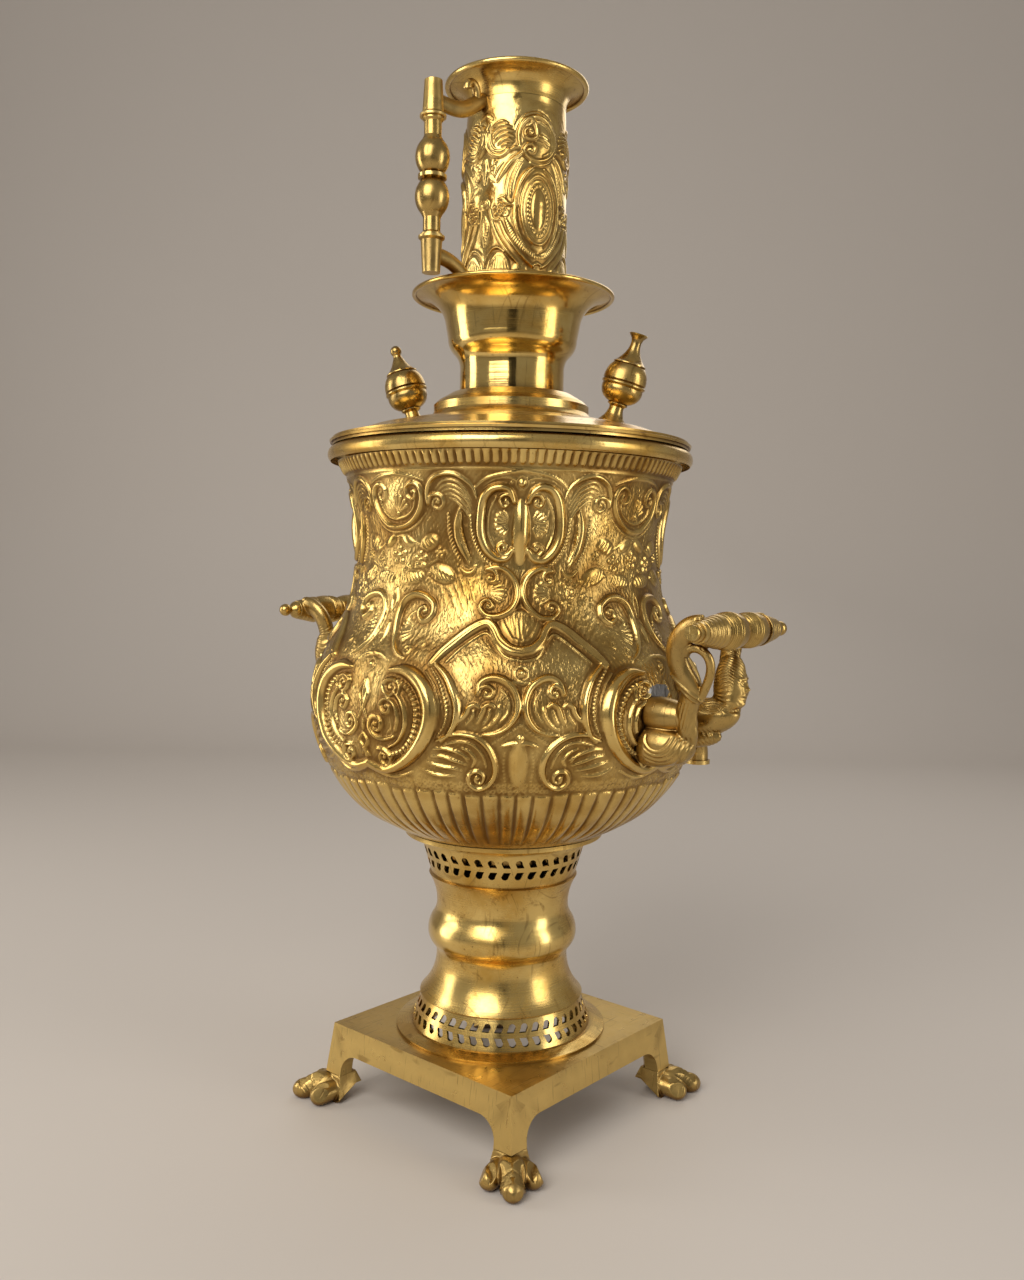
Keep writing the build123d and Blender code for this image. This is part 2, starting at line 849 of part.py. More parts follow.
grip_top = chimney_rim_top - grip_drop
grip_bottom = grip_top - grip_span
socket_top = grip_top - ferrule_length
socket_bottom = grip_bottom + ferrule_length
grip_middle = (grip_top + grip_bottom) / 2
bead_half = 0.93 * grip_bead_radius
bead_gap = 0.2 * grip_bead_radius
neck_bevel = grip_ring_radius - grip_neck_radius


def ferrule_outline(seat, end):
    """Half of a ferrule's outline, from its ringed seat at the grip to its narrower end."""
    out = 1 if end > seat else -1
    ring = out * neck_bevel / 2
    with BuildSketch() as half_ferrule:
        with BuildLine():
            Polyline(
                (0, seat + out * grip_tenon),
                (ferrule_bore, seat + out * grip_tenon),
                (ferrule_bore, seat),
                (grip_ring_radius, seat),
                (grip_ring_radius, seat + ring),
                (ferrule_radius, seat + 2 * ring),
                (ferrule_end_radius, end),
                (0, end),
                close=True,
            )
        make_face()
    return half_ferrule.sketch


grip_plane = Plane(origin=(0, grip_offset, 0), x_dir=(0, 1, 0), z_dir=(1, 0, 0))
bar_span = grip_offset - pipe_radius


def on_bracket(level, *points):
    """Scale points from shares of a bracket's span, counted from the grip's axis."""
    return [(grip_offset + bar_span * out, level + bar_span * up) for out, up in points]


def bracket_bar(line):
    """A bar of oval section along a curve from the grip's axis to the pipe."""
    with BuildPart() as bar:
        with BuildSketch(Plane(origin=line @ 0, x_dir=(1, 0, 0), z_dir=line % 0)):
            Ellipse(bracket_thickness / 2, bracket_depth / 2)
        sweep(path=line)
        add(pipe_envelope.part, mode=Mode.SUBTRACT)
    return bar.part


with BuildPart() as chimney_upper_bracket:
    with BuildSketch(grip_plane):
        add(ferrule_outline(socket_top, grip_top))
    revolve(axis=Axis(grip_plane.origin, (0, 0, 1)))
    upper_level = grip_top - ferrule_length / 2
    with BuildLine(Plane.YZ) as upper_line:
        Spline(
            *on_bracket(
                upper_level, (0, 0), (-0.36, 0), (-0.62, 0.05), (-0.83, 0.17), (-1.06, 0.31)
            )
        )
    add(bracket_bar(upper_line.line))
    with BuildLine(Plane.YZ) as curl_line:
        Spline(
            *on_bracket(
                upper_level,
                (-0.83, 0.15),
                (-0.89, 0.27),
                (-0.89, 0.40),
                (-0.82, 0.48),
                (-0.74, 0.46),
                (-0.71, 0.38),
            )
        )
    with BuildSketch(Plane(origin=curl_line.line @ 0, z_dir=curl_line.line % 0)):
        Circle(curl_radius)
    sweep(path=curl_line.line)
    with BuildSketch(Plane.XY.offset(socket_top)):
        with Locations((0, grip_offset)):
            Circle(ferrule_bore)
    extrude(amount=grip_tenon, mode=Mode.SUBTRACT)

write_piece(chimney_upper_bracket, "chimney_upper_bracket")

with BuildPart() as chimney_lower_bracket:
    with BuildSketch(grip_plane):
        add(ferrule_outline(socket_bottom, grip_bottom))
    revolve(axis=Axis(grip_plane.origin, (0, 0, 1)))
    lower_level = grip_bottom + 0.5 * ferrule_length
    with BuildLine(Plane.YZ) as lower_line:
        Spline(
            *on_bracket(
                lower_level, (0, 0), (-0.31, 0), (-0.57, -0.09), (-0.78, -0.25), (-1.06, -0.5)
            )
        )
    add(bracket_bar(lower_line.line))
    with BuildSketch(Plane.XY.offset(socket_bottom)):
        with Locations((0, grip_offset)):
            Circle(ferrule_bore)
    extrude(amount=-grip_tenon, mode=Mode.SUBTRACT)

write_piece(chimney_lower_bracket, "chimney_lower_bracket")

with BuildPart() as chimney_grip:
    with BuildSketch(grip_plane):
        with BuildLine():
            tenon = ferrule_bore - solder_gap
            neck = grip_neck_radius
            Polyline(
                (0, grip_top - ferrule_length + grip_tenon - seat_gap),
                (tenon, grip_top - ferrule_length + grip_tenon - seat_gap),
                (tenon, socket_top),
                (ferrule_radius, socket_top),
                (ferrule_radius, socket_top - neck_bevel / 2),
                (neck, socket_top - neck_bevel),
                (neck, grip_middle + bead_gap + 2 * bead_half + neck_bevel),
            )
            for low in (grip_middle + bead_gap, grip_middle - bead_gap - 2 * bead_half):
                ThreePointArc(
                    (neck + neck_bevel / 2, low + 2 * bead_half),
                    (grip_bead_radius, low + bead_half),
                    (neck + neck_bevel / 2, low),
                )
            Line(
                (neck, grip_middle + bead_gap + 2 * bead_half + neck_bevel),
                (neck + neck_bevel / 2, grip_middle + bead_gap + 2 * bead_half),
            )
            Polyline(
                (neck + neck_bevel / 2, grip_middle + bead_gap),
                (grip_ring_radius + neck_bevel / 4, grip_middle + bead_gap / 2),
                (grip_ring_radius + neck_bevel / 4, grip_middle - bead_gap / 2),
                (neck + neck_bevel / 2, grip_middle - bead_gap),
            )
            Polyline(
                (neck + neck_bevel / 2, grip_middle - bead_gap - 2 * bead_half),
                (neck, grip_middle - bead_gap - 2 * bead_half - neck_bevel),
                (neck, socket_bottom + neck_bevel),
                (ferrule_radius, socket_bottom + neck_bevel / 2),
                (ferrule_radius, socket_bottom),
                (tenon, socket_bottom),
                (tenon, socket_bottom - grip_tenon + seat_gap),
                (0, socket_bottom - grip_tenon + seat_gap),
                (0, grip_top - ferrule_length + grip_tenon - seat_gap),
            )
        make_face()
    revolve(axis=Axis(grip_plane.origin, (0, 0, 1)))

write_piece(chimney_grip, "chimney_grip")


# ---------------------------------------------------------------- side handles

arm_lean = math.atan((eye_offset - arm_foot_offset) / (handle_height - arm_foot_height))
journal_hole = spindle_journal_radius + journal_clearance


def arm_plane(side):
    """The leaning plane of an arm: x away from the samovar, y up, its origin in the eye."""
    return Plane(
        origin=(handle_reach, side * eye_offset, handle_height),
        x_dir=(1, 0, 0),
        z_dir=(0, -math.cos(arm_lean), side * math.sin(arm_lean)),
    )


def on_arm(*points):
    """Scale outline points from shares of an arm's reach and drop, counted from the eye."""
    reach = handle_reach - belly_radius
    drop = (handle_height - arm_foot_height) / math.cos(arm_lean)
    return [(reach * x, drop * y) for x, y in points]


def along_arm(side, radius_across, radius_along, *points):
    """A cast bar of oval section along a curve through points of an arm's plane."""
    with BuildPart() as bar:
        with BuildLine(arm_plane(side)) as spine:
            Spline(*on_arm(*points))
        line = spine.line
        with BuildSketch(Plane(origin=line @ 0, x_dir=arm_plane(side).z_dir, z_dir=line % 0)):
            Ellipse(radius_across, radius_along)
        sweep(path=line)
    return bar.part


def turned_on_arm(side, start, end, radius):
    """A long round shape between two points of an arm's plane."""
    with BuildPart() as rounded:
        with BuildLine(arm_plane(side)) as middle:
            Line(*on_arm(start, end))
        line = middle.edge()
        with BuildSketch(Plane(origin=line @ 0, x_dir=line % 0, z_dir=arm_plane(side).z_dir)):
            add(toe_profile(line.length, 2 * radius))
        revolve(axis=Axis(line @ 0, line % 0))
    return rounded.part


def boss(side, rise, radius, tip):
    """A rounded boss that stands out of the belly at an arm's foot; tip is its reach."""
    length = 2 * (tip - belly_radius)
    boss_plane = Plane(
        origin=(tip - length, side * arm_foot_offset, arm_foot_height + rise),
        x_dir=(1, 0, 0),
        z_dir=(0, 1, 0),
    )
    with BuildPart() as rounded:
        with BuildSketch(boss_plane):
            add(toe_profile(length, 2 * radius))
        revolve(axis=Axis(boss_plane.origin, (1, 0, 0)))
    return rounded.part


def finish_arm(side, *shapes):
    """Join an arm's shapes, add the eye for the spindle and fit the foot to the vessel."""
    with BuildPart() as arm:
        for shape in shapes:
            add(shape)
        eye_inner = side * (eye_offset - eye_width / 2)
        eye_plane = Plane(origin=(handle_reach, eye_inner, handle_height), z_dir=(0, side, 0))
        with BuildSketch(eye_plane):
            Circle(spindle_bead_radius + slip)
        extrude(amount=-eye_offset, mode=Mode.SUBTRACT)
        with BuildSketch(eye_plane.offset(eye_width)):
            Circle(spindle_collar_radius + slip)
        extrude(amount=eye_offset, mode=Mode.SUBTRACT)
        with BuildSketch(eye_plane):
            Circle(eye_radius)
        extrude(amount=eye_width, taper=eye_taper)
        with BuildSketch(Plane(origin=(handle_reach, 0, handle_height), z_dir=(0, side, 0))):
            Circle(journal_hole)
        extrude(amount=2 * eye_offset, mode=Mode.SUBTRACT)
        add(vessel_envelope.part, mode=Mode.SUBTRACT)
    return arm.part


scroll_band = along_arm(
    -1, arm_thickness / 2, arm_width / 2,
    (-0.07, 0.055), (-0.24, 0.03), (-0.40, -0.065), (-0.49, -0.19), (-0.49, -0.33), (-0.42, -0.455),
    (-0.36, -0.57), (-0.42, -0.69), (-0.48, -0.83), (-0.51, -1.0), (-0.60, -1.15), (-0.90, -1.25),
)
scroll_loop = along_arm(
    -1, loop_radius, loop_radius,
    (-0.38, -0.235), (-0.26, -0.16), (-0.145, -0.17), (-0.05, -0.245), (-0.04, -0.345),
    (-0.095, -0.455), (-0.18, -0.565), (-0.26, -0.655),
)
right_scroll_arm = finish_arm(
    -1, scroll_band, scroll_loop, boss(-1, egg_rise, egg_radius, foot_reach),
    boss(-1, -shell_drop, shell_radius, foot_reach),
)

figure_neck = along_arm(
    1, arm_thickness / 2, arm_width / 2,
    (-0.07, 0.055), (-0.24, 0.03), (-0.38, -0.065), (-0.43, -0.20), (-0.42, -0.365), (-0.41, -0.53),
    (-0.42, -0.69), (-0.50, -0.845), (-0.70, -0.955), (-1.05, -1.01),
)


right_figure_arm = finish_arm(
    1, figure_neck, turned_on_arm(1, (-0.41, -0.25), (-0.27, -0.90), head_radius),
    turned_on_arm(1, (-1.05, -0.98), (-0.15, -0.80), bust_radius),
    boss(1, -claw_radius / 2, claw_radius, claw_reach),
)

for arm_name, arm_shape in (("scroll_arm", right_scroll_arm), ("figure_arm", right_figure_arm)):
    with BuildPart() as right_arm:
        add(arm_shape)
    write_piece(right_arm, f"right_{arm_name}")
    with BuildPart() as left_arm:
        add(arm_shape, rotation=(0, 0, 180))
    write_piece(left_arm, f"left_{arm_name}")

bead_end = eye_offset - eye_width / 2 - seat_gap

with BuildSketch() as spindle_outline:
    with BuildLine():
        journal = spindle_journal_radius
        eye_outer = eye_offset + eye_width / 2 + seat_gap
        collar = spindle_collar_radius
        valley = spindle_bead_radius - spindle_groove
        step = (spindle_half_length - eye_outer) / 3
        ball_foot = spindle_half_length - math.sqrt(ball_radius**2 - ball_neck_radius**2)
        Polyline(
            (0, -spindle_half_length),
            (ball_radius, -spindle_half_length),
            (ball_radius, -spindle_half_length + step),
            ((ball_radius + collar) / 2, -spindle_half_length + step),
            ((ball_radius + collar) / 2, -spindle_half_length + 2 * step),
            (collar, -spindle_half_length + 2 * step),
            (collar, -eye_outer),
            (journal, -eye_outer),
            (journal, -bead_end),
            (valley, -bead_end),
        )
        ThreePointArc((valley, -bead_end), (spindle_bead_radius, -bead_end / 2), (valley, 0))
        ThreePointArc((valley, 0), (spindle_thin_radius, bead_end / 2), (valley, bead_end))
        Polyline(
            (valley, bead_end),
            (journal, bead_end),
            (journal, eye_outer),
            (collar, eye_outer),
            (collar - ball_neck_radius, eye_outer + ball_neck_radius),
            (ball_neck_radius, eye_outer + ball_neck_radius),
            (ball_neck_radius, ball_foot),
        )
        ThreePointArc(
            (ball_neck_radius, ball_foot),
            (ball_radius, spindle_half_length),
            (0, spindle_half_length + ball_radius),
        )
        Line((0, spindle_half_length + ball_radius), (0, -spindle_half_length))
    make_face()

for side_name, side in (("right", 1), ("left", -1)):
    spindle_plane = Plane(
        origin=(side * handle_reach, 0, handle_height), x_dir=(1, 0, 0), z_dir=(0, 0, side)
    )
    with BuildPart() as spindle:
        with BuildSketch(spindle_plane):
            add(spindle_outline.sketch)
        revolve(axis=Axis(spindle_plane.origin, (0, 1, 0)))
    write_piece(spindle, f"{side_name}_spindle")


# ---------------------------------------------------------------- tap

tap_plane = Plane(origin=(0, 0, 0), x_dir=(0, -1, 0), z_dir=(-1, 0, 0))
key_axis = Axis((0, -tap_reach, 0), (0, 0, 1))
below_belly = belly_top - tap_height
wall_radius = belly_radius - bowl_radius + math.sqrt(bowl_radius**2 - below_belly**2)
tap_start = wall_radius - tap_inside_length - 2 * sheet
barrel_top = tap_height + tap_barrel_height / 2
barrel_bottom = tap_height - tap_barrel_height / 2
elbow_radius = spout_radius * 1.6
outlet_reach = tap_reach + spout_reach
outlet_bottom = tap_height - spout_drop

rosette_plane = Plane(
    origin=(0, -wall_radius, tap_height),
    x_dir=(1, 0, 0),
    z_dir=(0, belly_radius - bowl_radius - wall_radius, -below_belly),
)

with BuildPart() as tap_rosette:
    with BuildSketch(rosette_plane.offset(-rosette_thickness)):
        Circle(rosette_radius)
    extrude(amount=1.5 * rosette_thickness)
    with BuildSketch(rosette_plane):
        Circle(rosette_radius * 0.75)
    extrude(amount=rosette_thickness, taper=20)
    with BuildSketch(Plane(origin=(0, -tap_start, tap_height), z_dir=(0, -1, 0))):
        Circle(tap_pipe_radius + solder_gap)
    extrude(amount=tap_reach - tap_start, mode=Mode.SUBTRACT)
    add(vessel_envelope.part, mode=Mode.SUBTRACT)

write_piece(tap_rosette, "tap_rosette")

with BuildPart() as tapped_vessel:
    add(vessel_body.part)
    with BuildSketch(Plane(origin=(0, -tap_start, tap_height), z_dir=(0, -1, 0))):
        Circle(tap_pipe_radius + solder_gap)
    extrude(amount=wall_radius - tap_start + tap_pipe_radius, mode=Mode.SUBTRACT)

write_piece(tapped_vessel, "vessel_body")

with BuildLine(tap_plane) as spout_path:
    run = Line((tap_reach, tap_height), (outlet_reach - elbow_radius, tap_height))
    bend = RadiusArc(
        (outlet_reach - elbow_radius, tap_height), (outlet_reach, tap_height - elbow_radius), elbow_radius
    )
    drop = Line((outlet_reach, tap_height - elbow_radius), (outlet_reach, outlet_bottom))

with BuildPart() as tap_body:
    with BuildSketch(Plane(origin=(0, -tap_start, tap_height), z_dir=(0, -1, 0))):
        Circle(tap_pipe_radius)
    extrude(amount=tap_reach - tap_start)
    with BuildSketch(tap_plane):
        with BuildLine():
            swell = tap_barrel_radius * 0.85
            Polyline(
                (tap_reach, barrel_bottom),
                (tap_reach + swell, barrel_bottom),
                (tap_reach + tap_barrel_radius, barrel_bottom + 0.2 * tap_barrel_height),
                (tap_reach + tap_barrel_radius, barrel_top - 0.2 * tap_barrel_height),
                (tap_reach + swell, barrel_top - 0.1 * tap_barrel_height),
                (tap_reach + tap_barrel_radius, barrel_top),
                (tap_reach, barrel_top),
                close=True,
            )
        make_face()
    revolve(axis=key_axis)
    with BuildSketch(Plane(origin=(0, -tap_reach, tap_height), z_dir=(0, -1, 0))):
        Circle(spout_radius)
    sweep(path=spout_path.line)
    with BuildSketch(Plane.XY.offset(outlet_bottom)):
        with Locations((0, -outlet_reach)):
            Circle(spout_radius + sheet)
    extrude(amount=2 * sheet)
    with BuildSketch(Plane(origin=(0, -tap_start, tap_height), z_dir=(0, -1, 0))):
        Circle(tap_bore)
    extrude(amount=tap_reach - tap_start, mode=Mode.SUBTRACT)
    with BuildSketch(Plane(origin=(0, -tap_reach, tap_height), z_dir=(0, -1, 0))):
        Circle(tap_bore)
    sweep(path=spout_path.line, mode=Mode.SUBTRACT)
    with BuildSketch(tap_plane):
        with BuildLine():
            Polyline(
                (tap_reach, barrel_bottom),
                (tap_reach + key_radius_bottom + key_clearance, barrel_bottom),
                (tap_reach + key_radius_top + key_clearance, barrel_top),
                (tap_reach, barrel_top),
                close=True,
            )
        make_face()
    revolve(axis=key_axis, mode=Mode.SUBTRACT)

write_piece(tap_body, "tap_body")

with BuildPart() as tap_key:
    with BuildSketch(tap_plane):
        with BuildLine():
            stem_radius = key_radius_bottom / 2
            Polyline(
                (tap_reach, barrel_bottom - 2 * key_nut_thickness),
                (tap_reach + stem_radius, barrel_bottom - 2 * key_nut_thickness),
                (tap_reach + stem_radius, barrel_bottom - sheet / 2),
                (tap_reach + key_radius_bottom, barrel_bottom - sheet / 2),
                (tap_reach + key_radius_bottom, barrel_bottom),
                (tap_reach + key_radius_top, barrel_top),
                (tap_reach + key_radius_top, barrel_top + sheet),
                (tap_reach + stem_radius, barrel_top + 2 * sheet),
                (tap_reach + stem_radius, barrel_top + key_stem_height),
                (tap_reach, barrel_top + key_stem_height),
                close=True,
            )
        make_face()
    revolve(axis=key_axis)
    with BuildSketch(Plane(origin=(0, -tap_reach, tap_height), z_dir=(1, 0, 0))):
        Circle(tap_bore)
    extrude(amount=tap_barrel_radius, both=True, mode=Mode.SUBTRACT)
    wing_foot = barrel_top + key_stem_height - sheet
    lobe = key_wing_width / 4
    wing_plane = Plane(origin=(0, -tap_reach, wing_foot), x_dir=(1, 0, 0), z_dir=(0, -1, 0))
    with BuildSketch(wing_plane):
        with Locations((-lobe, lobe), (lobe, lobe), (0, key_wing_height - lobe)):
            Circle(lobe)
        with Locations((0, key_wing_height / 2)):
            Rectangle(lobe, key_wing_height - lobe)
        Rectangle(2 * stem_radius, lobe, align=(Align.CENTER, Align.MIN))
        with Locations((-lobe, lobe), (lobe, lobe), (0, key_wing_height - lobe)):
            Circle(lobe / 2.2, mode=Mode.SUBTRACT)
    extrude(amount=key_wing_thickness / 2, both=True)

write_piece(tap_key, "tap_key")

with BuildPart() as tap_key_washer:
    with BuildSketch(Plane.XY.offset(barrel_bottom - sheet / 2)):
        with Locations((0, -tap_reach)):
            Circle(key_nut_width / 2 + 2 * sheet)
            Circle(stem_radius + solder_gap, mode=Mode.SUBTRACT)
    extrude(amount=-sheet)

write_piece(tap_key_washer, "tap_key_washer")

with BuildPart() as tap_key_nut:
    with BuildSketch(Plane.XY.offset(barrel_bottom - sheet * 1.5)):
        with Locations((0, -tap_reach)):
            RegularPolygon(key_nut_width / 2, 6, major_radius=False)
            Circle(stem_radius + solder_gap, mode=Mode.SUBTRACT)
    extrude(amount=-key_nut_thickness)

write_piece(tap_key_nut, "tap_key_nut")
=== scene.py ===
import json
import math

import bmesh
import bpy
import numpy as np
from mathutils import Matrix, Vector

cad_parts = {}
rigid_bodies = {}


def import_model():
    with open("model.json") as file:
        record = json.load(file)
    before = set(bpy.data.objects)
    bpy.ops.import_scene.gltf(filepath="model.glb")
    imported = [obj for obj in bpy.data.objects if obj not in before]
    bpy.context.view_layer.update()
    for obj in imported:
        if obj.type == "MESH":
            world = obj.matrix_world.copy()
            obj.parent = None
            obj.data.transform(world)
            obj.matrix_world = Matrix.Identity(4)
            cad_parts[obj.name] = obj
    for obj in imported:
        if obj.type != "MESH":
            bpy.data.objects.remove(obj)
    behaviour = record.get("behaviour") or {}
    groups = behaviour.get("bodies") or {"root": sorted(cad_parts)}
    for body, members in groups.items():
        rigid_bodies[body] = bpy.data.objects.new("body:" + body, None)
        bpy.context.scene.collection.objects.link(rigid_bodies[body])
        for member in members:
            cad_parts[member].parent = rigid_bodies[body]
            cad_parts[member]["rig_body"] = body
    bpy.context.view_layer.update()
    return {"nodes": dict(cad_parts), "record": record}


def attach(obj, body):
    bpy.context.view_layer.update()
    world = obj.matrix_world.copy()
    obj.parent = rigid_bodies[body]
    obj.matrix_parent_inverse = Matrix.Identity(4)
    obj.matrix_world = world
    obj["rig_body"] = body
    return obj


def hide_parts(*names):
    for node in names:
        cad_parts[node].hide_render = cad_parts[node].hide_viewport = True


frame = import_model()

NODES = frame["nodes"]
MM = 0.001

# Places and sizes in millimetres, as in the CAD
VESSEL_LOW, VESSEL_HIGH = 171.2, 392.4
PIPE_LOW, PIPE_HIGH = 456.7, 602.4
BACK, BACK_ROOM = 117.5, 0.49  # embossing past BACK is worn down to less than BACK_ROOM, for the CAD box
GRIP_OUT, GRIP_LEVEL = 160, 300
PANEL_SPAN, PANEL_RISE, PANEL_X, PANEL_Z = (88.6, 181.4), (206, 385), 0.2, 0.4  # a panel's map and its steps
KNOB_OUT, KNOB_LEVEL, KNOB_LEAN = 62.7, 417.5, math.radians(16.5)

# Colours of the brass and of what lies on it
BRIGHT = (0.76, 0.545, 0.19)
WARM = (0.56, 0.335, 0.072)
BROWN = (0.165, 0.076, 0.016)
DULL = (0.33, 0.225, 0.08)
SATIN = (0.56, 0.38, 0.125)
TURNED_TONE = (0.62, 0.415, 0.125)
SPECK = (0.16, 0.08, 0.025)
PIT = (0.15, 0.08, 0.03)
SOOT = (0.035, 0.02, 0.008)
SOLDER = (0.2, 0.195, 0.19)


def add_object(name, data):
    """An object in the scene."""
    obj = bpy.data.objects.new(name, data)
    bpy.context.scene.collection.objects.link(obj)
    return obj


def dress(obj, material):
    """The object has that material and no other."""
    obj.data.materials.clear()
    obj.data.materials.append(material)


# ---------------------------------------------------------------- camera, lights, floor

def set_camera():
    """The photograph's view: where the camera stands, how it looks down and how it is rolled."""
    azimuth, pitch, yaw, roll = math.radians(131.2), -0.0607, 0.0043, 0.0181
    toward = Vector((-math.cos(azimuth), -math.sin(azimuth), 0))
    side = Vector((toward.y, -toward.x, 0))
    up = Vector((0, 0, 1))
    ahead = math.sin(yaw) * side + math.cos(yaw) * toward
    right = math.cos(yaw) * side - math.sin(yaw) * toward
    look = math.cos(pitch) * ahead + math.sin(pitch) * up
    top = -math.sin(pitch) * ahead + math.cos(pitch) * up
    x_axis = math.cos(roll) * right + math.sin(roll) * top
    y_axis = -math.sin(roll) * right + math.cos(roll) * top
    camera = add_object("camera", bpy.data.cameras.new("camera"))
    place = -0.6954 * toward + 0.3289 * up
    camera.matrix_world = Matrix(list(zip((*x_axis, 0), (*y_axis, 0), (*-look, 0), (*place, 1))))
    camera.data.sensor_fit = "VERTICAL"
    camera.data.sensor_height = 36.0
    camera.data.lens = 31.83
    camera.data.clip_start = 0.01
    bpy.context.scene.camera = camera
    return toward, side


TOWARD, SIDE = set_camera()


def area_light(name, place, aim, size, power, colour, size_y=None):
    """A rectangular lamp at a place, turned toward its aim."""
    lamp = bpy.data.lights.new(name, "AREA")
    lamp.shape = "RECTANGLE"
    lamp.size = size
    lamp.size_y = size_y or size
    lamp.energy = power
    lamp.color = colour
    obj = add_object(name, lamp)
    obj.location = place
    obj.rotation_euler = (Vector(aim) - place).to_track_quat("-Z", "Y").to_euler()


def stand_point(ahead, side, height):
    """A point by its distance ahead of and beside the axis, as the camera sees it."""
    return TOWARD * ahead + SIDE * side + Vector((0, 0, height))


def set_lights():
    """Four soft lamps round the object and a pale even world."""
    middle = (0, 0, 0.3)
    area_light("key", stand_point(-1.1, -0.6, 1.15), middle, 1.1, 17, (1.0, 0.97, 0.92))
    area_light("fill", stand_point(-0.6, 1.35, 0.5), middle, 0.5, 6, (1.0, 0.97, 0.93), 1.1)
    area_light("back", stand_point(1.1, 0.5, 1.2), middle, 0.9, 3.5, (1.0, 0.98, 0.95))
    area_light("left", stand_point(0.1, -1.4, 0.5), middle, 0.45, 6, (1.0, 0.96, 0.9), 1.1)
    world = bpy.data.worlds.new("studio")
    world.use_nodes = True
    shade = world.node_tree.nodes["Background"]
    shade.inputs["Color"].default_value = (0.86, 0.81, 0.76, 1)
    shade.inputs["Strength"].default_value = 0.34
    bpy.context.scene.world = world
    bpy.context.scene.view_settings.view_transform = "Standard"


set_lights()


# ---------------------------------------------------------------- materials

class Nodes:
    """A small helper that adds nodes to a material and links them."""

    def __init__(self, name):
        self.material = bpy.data.materials.new(name)
        self.material.use_nodes = True
        self.tree = self.material.node_tree
        self.shader = self.tree.nodes["Principled BSDF"]
        self.place = self.add("ShaderNodeTexCoord").outputs["Object"]

    def add(self, kind, inputs=None, **settings):
        node = self.tree.nodes.new(kind)
        for key, value in settings.items():
            setattr(node, key, value)
        for key, value in (inputs or {}).items():
            self.put(node, key, value)
        return node

    def put(self, node, key, value):
        if isinstance(value, bpy.types.NodeSocket):
            self.tree.links.new(value, node.inputs[key])
        else:
            node.inputs[key].default_value = value

    def noise(self, scale, detail=3.0, rough=0.55, distort=0.0, vector=None):
        return self.add(
            "ShaderNodeTexNoise",
            {"Vector": vector or self.place, "Scale": scale, "Detail": detail, "Roughness": rough,
             "Distortion": distort},
        ).outputs["Fac"]

    def fade(self, value, low, high, share=1.0):
        """Black at the low value, a grey of that share at the high one."""
        node = self.add("ShaderNodeValToRGB", {"Fac": value})
        for element, place, grey in zip(node.color_ramp.elements, (low, high), (0.0, share)):
            element.position = place
            element.color = (grey, grey, grey, 1)
        return node.outputs["Color"]

    def span(self, value, low, high, to_low=0.0, to_high=1.0):
        return self.add(
            "ShaderNodeMapRange",
            {"Value": value, "From Min": low, "From Max": high, "To Min": to_low, "To Max": to_high},
        ).outputs["Result"]

    def math(self, operation, a, b=0.0, clamp=False):
        node = self.add("ShaderNodeMath", {0: a, 1: b}, operation=operation)
        node.use_clamp = clamp
        return node.outputs[0]

    def vector(self, operation, a, b=None):
        node = self.add("ShaderNodeVectorMath", {0: a} if b is None else {0: a, 1: b}, operation=operation)
        return node.outputs["Value" if operation in ("LENGTH", "DISTANCE", "DOT_PRODUCT") else 0]

    def mapped(self, place, **settings):
        return self.add("ShaderNodeMapping", {"Vector": place, **settings}).outputs[0]

    def crevice(self, distance):
        return self.add("ShaderNodeAmbientOcclusion", {"Distance": distance}, samples=6).outputs["AO"]

    def mix(self, share, a, b):
        node = self.add("ShaderNodeMix", data_type="RGBA")
        self.put(node, 0, share)
        self.put(node, 6, a if isinstance(a, bpy.types.NodeSocket) else (*a, 1))
        self.put(node, 7, b if isinstance(b, bpy.types.NodeSocket) else (*b, 1))
        return node.outputs[2]

    def bump(self, height, strength, distance, normal=None):
        inputs = {"Height": height, "Strength": strength, "Distance": distance}
        if normal is not None:
            inputs["Normal"] = normal
        return self.add("ShaderNodeBump", inputs).outputs["Normal"]

    def finish(self, colour, roughness, normal, metallic=1.0):
        """Links the look to the shader and gives the material."""
        look = {"Base Color": colour, "Metallic": metallic, "Roughness": roughness, "Normal": normal}
        for key, value in look.items():
            self.put(self.shader, key, value)
        return self.material


def lathe_coordinates(m, place):
    """Distance from the samovar's axis and height, for marks that run round it."""
    parts = m.add("ShaderNodeSeparateXYZ", {0: place})
    flat = m.add("ShaderNodeCombineXYZ", {0: parts.outputs[0], 1: parts.outputs[1]}).outputs[0]
    radius = m.vector("LENGTH", flat)
    return m.add("ShaderNodeCombineXYZ", {0: radius, 1: parts.outputs[2]}).outputs[0]


def scratched(m, across, fine=900.0):
    """Thin scratches that run across and along a slant, as a height from 0 to 1."""
    first = m.mapped(m.place, Rotation=(0.5, 0.3, across), Scale=(1.0, 0.04, 0.06))
    other = m.mapped(m.place, Rotation=(0.2, 1.1, across + 1.3), Scale=(0.05, 1.0, 0.05))
    lines = m.noise(fine, 1.0, 0.5, vector=first)
    cross = m.noise(fine * 0.8, 1.0, 0.5, vector=other)
    return m.math("ADD", m.span(lines, 0.66, 0.72), m.span(cross, 0.67, 0.73), clamp=True)


def inside(m):
    """How far a face turns toward the samovar's axis, from 0 to 1."""
    out = m.vector("NORMALIZE", m.vector("MULTIPLY", m.place, (1, 1, 0)))
    facing = m.add("ShaderNodeNewGeometry").outputs["Normal"]
    return m.span(m.vector("DOT_PRODUCT", facing, out), -0.15, -0.45)


